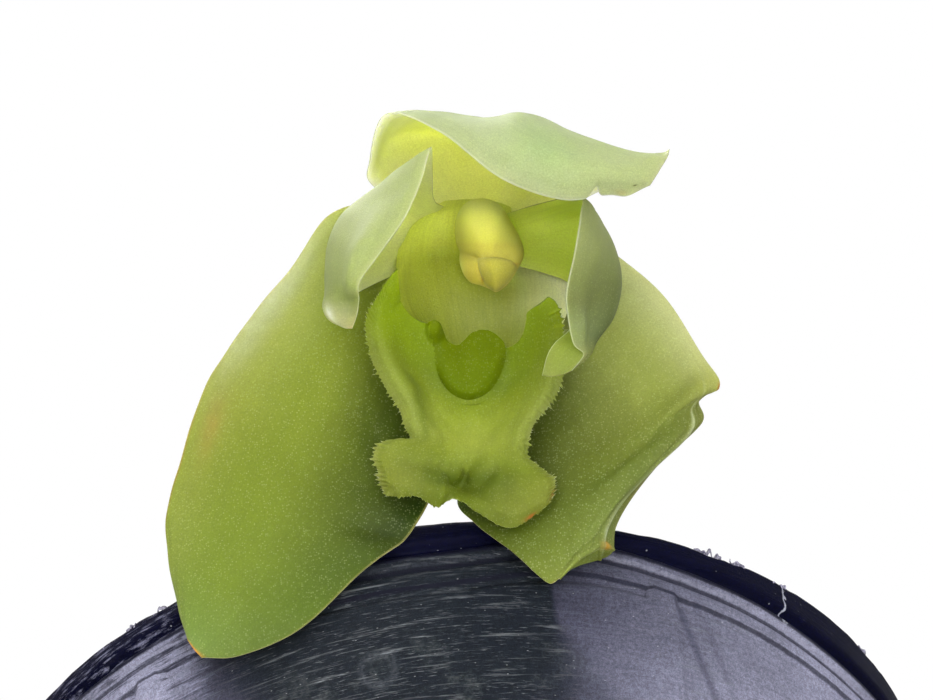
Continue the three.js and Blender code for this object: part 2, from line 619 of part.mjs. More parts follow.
const plant = new THREE.Group();
plant.add(makePot());
plant.add(makeBark());
plant.add(named('rhizome', toGeometry(rhizomeSolid(0)), 'rhizome'));
BULBS.forEach((bulb, k) => {
  plant.add(named(`pseudobulb_${k + 1}`, bare(bulbGeometry(bulb, 0)), 'bulb'));
});
LEAVES.forEach((leaf, k) => {
  plant.add(named(`leaf_${k + 1}`, sheet(leafGrid(leaf, 13, 6), BLADE), 'leaf'));
});
plant.add(makeScape());
plant.add(makeFlower());

export default plant;
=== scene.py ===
import math
import random

import bmesh
import bpy
import numpy as np
from mathutils import Matrix


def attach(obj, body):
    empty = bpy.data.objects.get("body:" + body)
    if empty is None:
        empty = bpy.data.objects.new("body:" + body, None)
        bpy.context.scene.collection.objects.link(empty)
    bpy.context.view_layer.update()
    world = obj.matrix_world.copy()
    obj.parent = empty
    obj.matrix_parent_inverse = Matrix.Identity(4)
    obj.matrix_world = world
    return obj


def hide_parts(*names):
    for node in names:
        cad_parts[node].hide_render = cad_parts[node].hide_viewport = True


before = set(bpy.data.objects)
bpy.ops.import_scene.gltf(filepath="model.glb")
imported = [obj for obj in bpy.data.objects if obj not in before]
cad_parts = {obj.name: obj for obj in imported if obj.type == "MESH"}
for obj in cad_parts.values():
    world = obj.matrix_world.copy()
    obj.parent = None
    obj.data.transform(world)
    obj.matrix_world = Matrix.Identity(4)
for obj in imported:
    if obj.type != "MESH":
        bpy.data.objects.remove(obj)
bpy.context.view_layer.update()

MM = 0.001

# Pot
POT_HEIGHT = 92
RIM_RADIUS = 51.5
RIM_BAND = 3.4
RIM_WIDTH = 1.6
WALL = 1.2
WALL_TOP_RADIUS = 50.7
BASE_RADIUS = 36
LEDGE_DROP = 6.8
LEDGE_STEP = 0.5
GROOVE_HEIGHT = 1.2
GROOVE_SLOPE = 0.4
FLOOR_TOP = 3.2
FLOOR_RAISE = 2
FOOT_SLOPE = 1.5
CENTRE_FOOT_RADIUS = 14
FOOT_RING_INNER = 31.5
DRAIN_RADIUS = 3.5
DRAIN_RING = 23
RIB_COUNT = 6
RIB_WIDTH = 2.6
RIB_RELIEF = 0.3
RIB_FOOT = 4
RIB_REACH = RIB_WIDTH / 2 / WALL_TOP_RADIUS

# Bark and growths
BARK_TOP = 79
BULB_FOOT = 79.6
BULB_HEIGHT = 42
BULB_WIDTH = 27
BULB_DEPTH = 17
RHIZOME_RADIUS = 3.6
LEAF_WIDTH = 32
LEAF_PLEAT = 0.9
LEAF_KEEL = 0.28
PLEATED_HALF_WIDTH = 8

# Flower
FLOWER_CENTRE = np.array([9.7, -68.9, 109.2])
NOD = math.radians(50)
ROLL = math.radians(-9.1)
SKIN = 0.5
LIP_THICKNESS = 0.8
MOUTH = np.array([3.0, -3.0, 14.0])

# Camera
CAMERA_PLACE = np.array([10.104, -217.824, -81.736])
FOCAL_LENGTH = 96.46
SENSOR_WIDTH = 36
PICTURE_MIDDLE = (466.5, 350)
VIEW_SCALE = 2500
VIEW_DISTANCE = 242
VIEW_OFFSET = (1.79, -8.52)


# Frames and curves

def flower_axes():
    right = np.array([1.0, 0.0, 0.0])
    up = np.array([0.0, -math.sin(NOD), math.cos(NOD)])
    across = math.cos(ROLL) * right + math.sin(ROLL) * up
    upward = -math.sin(ROLL) * right + math.cos(ROLL) * up
    return np.array([across, upward, np.cross(across, upward)])


FLOWER_AXES = flower_axes()


def in_pot_frame(places):
    return FLOWER_CENTRE + np.asarray(places, float) @ FLOWER_AXES


def seen_at(places):
    """Places in the flower's frame, from picture places and their z in the flower's frame."""
    across, down, z = np.moveaxis(np.asarray(places, float), -1, 0)
    scale = (VIEW_DISTANCE - z) / VIEW_SCALE
    x = (across - PICTURE_MIDDLE[0]) * scale + VIEW_OFFSET[0]
    y = (PICTURE_MIDDLE[1] - down) * scale + VIEW_OFFSET[1]
    return np.stack([x, y, z], axis=-1)


def picture_places(places):
    """Where the camera sees places of the flower's frame in its picture."""
    x, y, z = np.moveaxis(np.asarray(places, float), -1, 0)
    scale = (VIEW_DISTANCE - z) / VIEW_SCALE
    across = (x - VIEW_OFFSET[0]) / scale + PICTURE_MIDDLE[0]
    down = PICTURE_MIDDLE[1] - (y - VIEW_OFFSET[1]) / scale
    return np.stack([across, down], axis=-1)


def spline(points, shares):
    """The smooth curve through the points, at shares of its length in points from 0 to 1."""
    points = np.asarray(points, float)
    last = len(points) - 1
    before = 2 * points[0] - points[1]
    after = 2 * points[-1] - points[-2]
    all_points = np.concatenate([[before], points, [after]])
    steps = np.clip(shares, 0, 1) * last
    k = np.minimum(steps.astype(int), last - 1)
    w = (steps - k).reshape(-1, *[1] * (points.ndim - 1))
    a, b, c, d = all_points[k], all_points[k + 1], all_points[k + 2], all_points[k + 3]
    square = 2 * a - 5 * b + 4 * c - d
    cube = 3 * b - a - 3 * c + d
    return 0.5 * (2 * b + (c - a) * w + square * w**2 + cube * w**3)


def smooth_step(value, low, high):
    share = np.clip((value - low) / (high - low), 0, 1)
    return share * share * (3 - 2 * share)


def bump_at(value, centre, width):
    return np.exp(-(((value - centre) / width) ** 2))


def toward_both_ends(count):
    """Shares from 0 to 1 that lie closer together near both ends."""
    even = np.linspace(0, 1, count)
    return 0.4 * even + 0.6 * (0.5 - 0.5 * np.cos(np.pi * even))


def toward_the_end(count):
    even = np.linspace(0, 1, count)
    return 0.55 * even + 0.45 * np.sin(0.5 * np.pi * even)


def net_surface(net, along, over):
    rows = spline(net, along)
    return spline(rows.transpose(1, 0, 2), over).transpose(1, 0, 2)


def surface_normals(grid):
    along = np.gradient(grid, axis=0)
    over = np.gradient(grid, axis=1)
    normals = np.cross(over, along)
    length = np.linalg.norm(normals, axis=2, keepdims=True)
    return normals / np.maximum(length, 1e-9)


def unit(vectors):
    return vectors / np.linalg.norm(vectors, axis=-1, keepdims=True)


def whole_turn(sides):
    return np.linspace(0, 2 * np.pi, sides, endpoint=False)


def normals_toward(grid, inside):
    normals = surface_normals(grid)
    return -normals if np.sum((inside - grid) * normals) < 0 else normals


def distance_across(grid):
    """How far each place is from the first side margin, along its row."""
    steps = np.linalg.norm(np.diff(grid, axis=1), axis=2)
    return np.concatenate([np.zeros((len(grid), 1)), np.cumsum(steps, axis=1)], axis=1)


# Meshes

def add_object(name, data):
    made = bpy.data.objects.new(name, data)
    bpy.context.scene.collection.objects.link(made)
    return made


def face_outward(mesh):
    turned = bmesh.new()
    turned.from_mesh(mesh)
    bmesh.ops.recalc_face_normals(turned, faces=turned.faces)
    turned.to_mesh(mesh)
    turned.free()


class Shape:
    """Places, faces, surface coordinates and material numbers, gathered for one piece."""

    def __init__(self):
        self.places = []
        self.faces = []
        self.uvs = []
        self.kinds = []

    def add(self, places, faces, uvs, kind=0):
        start = len(self.places)
        self.places.extend(np.asarray(places, float).reshape(-1, 3).tolist())
        self.uvs.extend(np.asarray(uvs, float).reshape(-1, 2).tolist())
        self.faces.extend([[start + k for k in face] for face in faces])
        self.kinds.extend(kind if isinstance(kind, list) else [kind] * len(faces))

    def piece(self, name, materials, slot, node=None):
        """The smooth-shaded piece, in metres, which rides on the one body."""
        mesh = bpy.data.meshes.new(name)
        mesh.from_pydata((np.array(self.places) * MM).tolist(), [], self.faces)
        for material in materials:
            mesh.materials.append(material)
        mesh.polygons.foreach_set("material_index", self.kinds)
        corners = np.empty(len(mesh.loops), dtype=np.int32)
        mesh.loops.foreach_get("vertex_index", corners)
        layer = mesh.uv_layers.new(name="UVMap")
        layer.data.foreach_set("uv", np.array(self.uvs)[corners].ravel())
        face_outward(mesh)
        mesh.polygons.foreach_set("use_smooth", [True] * len(mesh.polygons))
        mesh.update()
        piece = add_object(name, mesh)
        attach(piece, "root")
        if node is not None:
            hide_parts(node)


def grid_faces(rows, columns, start=0):
    k = start + np.arange(rows * columns).reshape(rows, columns)
    quads = np.stack([k[:-1, :-1], k[:-1, 1:], k[1:, 1:], k[1:, :-1]], axis=-1)
    return quads.reshape(-1, 4).tolist()


def margin_loop(rows, columns):
    k = np.arange(rows * columns).reshape(rows, columns)
    return [*k[0, :-1], *k[:-1, -1], *k[-1, :0:-1], *k[:0:-1, 0]]


def add_blade(shape, grid, thickness, along, over, inside, kinds=(0, 1)):
    """A closed blade round a middle surface. The first kind is on the side that faces inside."""
    rows, columns = grid.shape[:2]
    half = normals_toward(grid, inside) * thickness[..., None] / 2
    places = np.concatenate([(grid + half).reshape(-1, 3), (grid - half).reshape(-1, 3)])
    shift = rows * columns
    front = grid_faces(rows, columns)
    back = grid_faces(rows, columns, shift)
    loop = [int(k) for k in margin_loop(rows, columns)]
    strip = [[a, b, b + shift, a + shift] for a, b in zip(loop, loop[1:] + loop[:1])]
    uvs = np.stack(np.meshgrid(over, along), axis=-1).reshape(-1, 2)
    kind = [kinds[0]] * len(front) + [kinds[1]] * (len(back) + len(strip))
    shape.add(places, front + back + strip, np.concatenate([uvs, uvs]), kind)


def blade_thickness(grid, full, thin, reach):
    """Thin at the two side margins and the far end, and full at a reach from them."""
    from_left = distance_across(grid)
    from_base = distance_across(grid.transpose(1, 0, 2)).T
    side = np.minimum(from_left, from_left[:, -1:] - from_left)
    nearest = np.minimum(side, from_base[-1:] - from_base)
    return thin + (full - thin) * np.clip(nearest / reach, 0, 1)


def ring_faces(rings, sides):
    k = np.arange(rings * sides).reshape(rings, sides)
    following = np.roll(k, -1, axis=1)
    quads = np.stack([k[:-1], following[:-1], following[1:], k[1:]], axis=-1)
    faces = quads.reshape(-1, 4).tolist()
    faces.append(k[0].tolist())
    faces.append(k[-1].tolist())
    return faces


def tangents(path, shares):
    small = 0.5e-3
    ahead = spline(path, np.clip(shares + small, 0, 1))
    return unit(ahead - spline(path, np.clip(shares - small, 0, 1)))


def tube_grid(path, sizes, rings, sides, reference, first=0.0, last=1.0):
    """Rings round a path, and its middle. Each ring is wide to either side and deep the other way."""
    shares = np.linspace(first, last, rings)
    middle = spline(path, shares)
    tangent = tangents(path, shares)
    sideways = np.asarray(reference, float)
    wide = unit(sideways - (tangent @ sideways)[:, None] * tangent)
    deep = np.cross(wide, tangent)
    size = spline(sizes, np.linspace(0, 1, rings))
    angle = whole_turn(sides)
    across = np.sin(angle)[None, :, None] * size[:, None, 0:1] * wide[:, None, :]
    through = np.cos(angle)[None, :, None] * size[:, None, 1:2] * deep[:, None, :]
    return middle[:, None, :] + across + through, middle


def add_tube(shape, grid, kind=0):
    rings, sides = grid.shape[:2]
    u, v = np.meshgrid(np.arange(sides) / sides, np.linspace(0, 1, rings))
    shape.add(grid, ring_faces(rings, sides), np.stack([u, v], axis=-1), kind)


def scaled_rings(grid, middle, scale):
    """The same rings with each place moved to scale times its distance from the path."""
    return middle[:, None, :] + (grid - middle[:, None, :]) * scale[..., None]


# Materials

def linear(red, green, blue):
    """A display colour from 0 to 255 as the linear colour that shaders take."""
    def one(value):
        value = value / 255
        return value / 12.92 if value <= 0.04045 else ((value + 0.055) / 1.055) ** 2.4
    return (one(red), one(green), one(blue), 1.0)


class Value:
    """A node's output. Sums of it with other values make further nodes."""

    def __init__(self, nodes, socket):
        self.nodes = nodes
        self.socket = socket

    def __add__(self, other):
        return self.nodes.math("ADD", self, other)

    def __sub__(self, other):
        return self.nodes.math("SUBTRACT", self, other)

    def __rsub__(self, other):
        return self.nodes.math("SUBTRACT", other, self)

    def __mul__(self, other):
        return self.nodes.math("MULTIPLY", self, other)

    def __truediv__(self, other):
        return self.nodes.math("DIVIDE", self, other)

    def __abs__(self):
        return self.nodes.math("ABSOLUTE", self)

    def rising(self, low, high):
        """0 below low and 1 above high, with a smooth rise between them."""
        inputs = {"Value": self, "From Min": low, "From Max": high}
        return self.nodes.out("Result", "ShaderNodeMapRange", inputs, interpolation_type="SMOOTHSTEP")

    def falling(self, low, high):
        """1 below low and 0 above high."""
        return 1.0 - self.rising(low, high)

    def spread(self, low, high):
        """The value, which runs from 0 to 1, moved to run from low to high."""
        return self.nodes.math("MULTIPLY_ADD", self, high - low, low)


class Nodes:
    """A node tree, with short ways to make patterns."""

    def __init__(self, owner):
        owner.use_nodes = True
        self.tree = owner.node_tree

    def node(self, kind, inputs=None, **settings):
        made = self.tree.nodes.new(kind)
        for key, value in settings.items():
            setattr(made, key, value)
        for key, value in (inputs or {}).items():
            self.put(made.inputs[key], value)
        return made

    def put(self, socket, value):
        if isinstance(value, Value):
            self.tree.links.new(value.socket, socket)
        else:
            socket.default_value = value

    def out(self, key, kind, inputs=None, **settings):
        return Value(self, self.node(kind, inputs, **settings).outputs[key])

    def end_in(self, kind, share, first, second):
        """Ends the tree in a mix of two shaders."""
        mixed = self.out(0, "ShaderNodeMixShader", {0: share, 1: first, 2: second})
        self.put(self.tree.nodes[kind].inputs[0], mixed)

    def math(self, operation, *values):
        return self.out(0, "ShaderNodeMath", dict(enumerate(values)), operation=operation)

    def vector(self, x, y, z=0.0):
        return self.out(0, "ShaderNodeCombineXYZ", {0: x, 1: y, 2: z})

    def coordinates(self, kind):
        return self.out(kind, "ShaderNodeTexCoord")

    def split(self, vector):
        made = self.node("ShaderNodeSeparateXYZ", {0: vector})
        return [Value(self, socket) for socket in made.outputs]

    def noise(self, place, scale, detail=3.0, rough=0.5, warp=0.0):
        inputs = {"Vector": place, "Scale": scale, "Detail": detail, "Roughness": rough, "Distortion": warp}
        return self.out("Fac", "ShaderNodeTexNoise", inputs)

    def cells(self, place, scale):
        """The distance to the nearest of many scattered points, and a random number for that point."""
        made = self.node("ShaderNodeTexVoronoi", {"Vector": place, "Scale": scale})
        chosen = Value(self, made.outputs["Color"])
        return Value(self, made.outputs["Distance"]), self.out(0, "ShaderNodeSeparateColor", {0: chosen})

    def ramp(self, value, stops):
        """A colour that changes with the value. A stop is a position and a linear colour."""
        made = self.node("ShaderNodeValToRGB", {0: value})
        elements = made.color_ramp.elements
        while len(elements) < len(stops):
            elements.new(0.5)
        for element, (position, color) in zip(elements, stops):
            element.position = position
            element.color = color
        return Value(self, made.outputs["Color"])

    def tints(self, value, stops):
        """A ramp. A stop is a position and the red, green and blue of a display colour."""
        return self.ramp(value, [(stop[0], linear(*stop[1:])) for stop in stops])

    def mix(self, share, first, second, blend="MIX"):
        inputs = {"Factor": share, 6: first, 7: second}
        return self.out(2, "ShaderNodeMix", inputs, data_type="RGBA", blend_type=blend)

    def paint(self, color, share, tint):
        """The colour with a share of a display colour over it."""
        return self.mix(share, color, linear(*tint))

    def shade(self, color, value):
        """The colour times a value that is 1 on average."""
        return self.mix(1.0, color, self.vector(value, value, value), "MULTIPLY")

    def spot(self, u, v, at, size):
        """1 at a place on the surface, fading to 0 round it."""
        across = (u - at[0]) / size[0]
        along = (v - at[1]) / size[1]
        return self.math("EXPONENT", (across * across + along * along) * -1.0)

    def relief(self, height, distance, strength):
        inputs = {"Height": height, "Distance": distance, "Strength": strength}
        return self.out(0, "ShaderNodeBump", inputs)


class Surface(Nodes):
    """A material's nodes. The shader's inputs are set by their names."""

    def __init__(self, name):
        self.material = bpy.data.materials.new(name)
        super().__init__(self.material)
        self.shader = self.tree.nodes["Principled BSDF"]

    def set(self, **values):
        for key, value in values.items():
            self.put(self.shader.inputs[key.replace("_", " ")], value)

    def glow(self, weight, color, depth):
        """Light that enters the surface and comes out again beside its way in."""
        self.set(Subsurface_Weight=weight, Subsurface_Radius=color, Subsurface_Scale=depth)

    def surface_coordinates(self):
        return self.split(self.coordinates("UV"))[:2]

    def object_coordinates(self):
        return self.coordinates("Object")


# Camera, lights and floor

def set_placing(thing, side, up, back, place):
    turned = Matrix((side, up, back)).transposed().to_4x4()
    thing.matrix_world = Matrix.Translation(place) @ turned


def make_camera():
    forward = np.array([0.0, math.cos(NOD), math.sin(NOD)])
    data = bpy.data.cameras.new("photo_camera")
    data.lens = FOCAL_LENGTH
    data.sensor_width = SENSOR_WIDTH
    data.sensor_fit = "HORIZONTAL"
    data.clip_start = 0.01
    camera = add_object("photo_camera", data)
    set_placing(camera, FLOWER_AXES[0], FLOWER_AXES[1], -forward, CAMERA_PLACE * MM)
    bpy.context.scene.camera = camera


def make_light(name, place, target, size, power, color=(1, 1, 1), spread=180):
    """A round lamp at a place, turned to its target, both in metres."""
    data = bpy.data.lights.new(name, "AREA")
    data.shape = "DISK"
    data.size = size
    data.energy = power
    data.color = color
    data.spread = math.radians(spread)
    light = add_object(name, data)
    away = unit(np.array(place, float) - np.array(target, float))
    side = unit(np.cross((0.0, 0.0, 1.0), away))
    set_placing(light, side, np.cross(away, side), away, place)
    light.visible_camera = False


def make_world():
    """A white backdrop that lights the scene softly, a little more from above."""
    scene = bpy.context.scene
    scene.view_settings.view_transform = "Standard"
    scene.world = bpy.data.worlds.new("studio")
    s = Nodes(scene.world)
    up = s.split(s.coordinates("Generated"))[2].spread(0.5, 1.0)
    sky = s.ramp(up, [(0.3, WORLD_LOW), (0.9, WORLD_HIGH)])
    background = s.tree.nodes["Background"]
    s.put(background.inputs["Color"], sky)
    s.put(background.inputs["Strength"], WORLD_STRENGTH)
    soft = Value(s, background.outputs[0])
    seen = s.out(0, "ShaderNodeBackground", {"Color": WORLD_HIGH, "Strength": 1.0})
    s.end_in("World Output", s.out("Is Camera Ray", "ShaderNodeLightPath"), soft, seen)


def make_floor():
    """A pale floor that fades into the backdrop. From below, where the camera is, it is clear."""
    mesh = bpy.data.meshes.new("floor")
    corners = [(x * FLOOR_REACH, y * FLOOR_REACH, 0) for x, y in ((-1, -1), (1, -1), (1, 1), (-1, 1))]
    mesh.from_pydata(corners, [], [(0, 1, 2, 3)])
    s = Surface("pale_floor")
    s.set(Base_Color=FLOOR_COLOR, Roughness=0.8, Specular_IOR_Level=0.2)
    from_middle = s.out("Value", "ShaderNodeVectorMath", {0: s.object_coordinates()}, operation="LENGTH")
    below = s.out("Backfacing", "ShaderNodeNewGeometry")
    clear = s.math("MAXIMUM", below, from_middle.rising(*FLOOR_FADE))
    pale = Value(s, s.shader.outputs[0])
    s.end_in("Material Output", clear, pale, s.out(0, "ShaderNodeBsdfTransparent"))
    mesh.materials.append(s.material)
    floor = add_object("floor", mesh)


# In metres and linear colours
FLOOR_REACH = 3.0
FLOOR_FADE = (0.3, 0.9)
FLOOR_COLOR = (0.8, 0.8, 0.79, 1)
WORLD_LOW = (0.62, 0.63, 0.66, 1)
WORLD_HIGH = (1, 1, 1, 1)
WORLD_STRENGTH = 0.55

make_camera()
make_world()
make_floor()
make_light("front_above", (-0.25, -0.62, 0.55), (0.01, -0.06, 0.1), 0.45, 2.6)
make_light("front_low", (-0.04, -0.42, 0.07), (0.01, -0.07, 0.105), 0.2, 0.35)
make_light("on_the_floor", (0.0, -0.33, 0.3), (0.01, -0.2, 0.0), 0.1, 0.5, (1, 1, 1), 36)
make_light("right_side", (0.75, -0.35, 0.12), (0.0, 0.0, 0.08), 0.5, 2.6, (0.93, 0.95, 1))
make_light("above", (-0.15, -0.06, 0.85), (0.01, -0.07, 0.11), 0.45, 3.4, (1, 0.99, 0.95))


# Materials of the plant

def tissue(name, middle, first=None, last=None, margin=None, spots=(), streaks=0.05, mottle=0.06,
           sparkle=0.3, roughness=0.52, glow=0.5, depth=0.0022, shine=0.22):
    """Living skin. middle gives the colours from base to tip along the organ's middle, and first
    and last those along its two side margins. A margin's line is (colour, width, amount, start),
    and spots are (colour, place, size, amount)."""
    s = Surface(name)
    u, v = s.surface_coordinates()
    place = s.object_coordinates()
    level = v + s.noise(place, 170, 2.0).spread(-0.03, 0.03)
    across = u + s.noise(place, 150, 2.0).spread(-0.04, 0.04)
    color = s.tints(level, middle)
    if first is not None:
        color = s.mix(across.falling(0.0, 0.5), color, s.tints(level, first))
    if last is not None:
        color = s.mix(across.rising(0.5, 1.0), color, s.tints(level, last))
    for tint, at, size, amount in spots:
        patch = s.spot(u, v, at, size) * s.noise(place, 1000, 3.0).spread(0.5, 1.3)
        color = s.paint(color, s.math("MINIMUM", patch * amount, 1.0), tint)
    lines = s.noise(s.vector(u * 60.0, v * 3.0), 1.0, 3.0, 0.6)
    color = s.shade(color, lines.spread(1 - 1.6 * streaks, 1 + 1.6 * streaks))
    color = s.shade(color, s.noise(place, 480, 3.0, 0.6).spread(1 - 1.4 * mottle, 1 + 1.4 * mottle))
    fine = s.noise(place, 6500, 2.0, 0.6)
    color = s.shade(color, fine.spread(0.78 - 0.3 * sparkle, 1.22 + 0.3 * sparkle))
    if margin is not None:
        tint, width, amount, start = margin
        side = s.math("MINIMUM", u, 1.0 - u)
        edge = side.falling(width * 0.35, width) * v.rising(start, start + 0.15)
        color = s.paint(color, edge * amount, tint)
    distance, pick = s.cells(place, 5200)
    dots = distance.falling(0.15, 0.6) * pick.rising(0.45, 1.0)
    color = s.paint(color, dots * (0.8 * sparkle), (222, 228, 170))
    s.set(Base_Color=color, Roughness=fine.spread(roughness - 0.08, roughness + 0.1))
    s.glow(glow, (0.9, 1.0, 0.4), depth)
    s.set(Specular_IOR_Level=shine, Normal=s.relief(fine * 0.8 + lines * 0.8, 0.00006, 0.6))
    return s.material


# Display colours
WHITE_EDGE = (214, 222, 180)
BROWN_EDGE = (146, 84, 30)
ORANGE_TIP = (206, 130, 42)

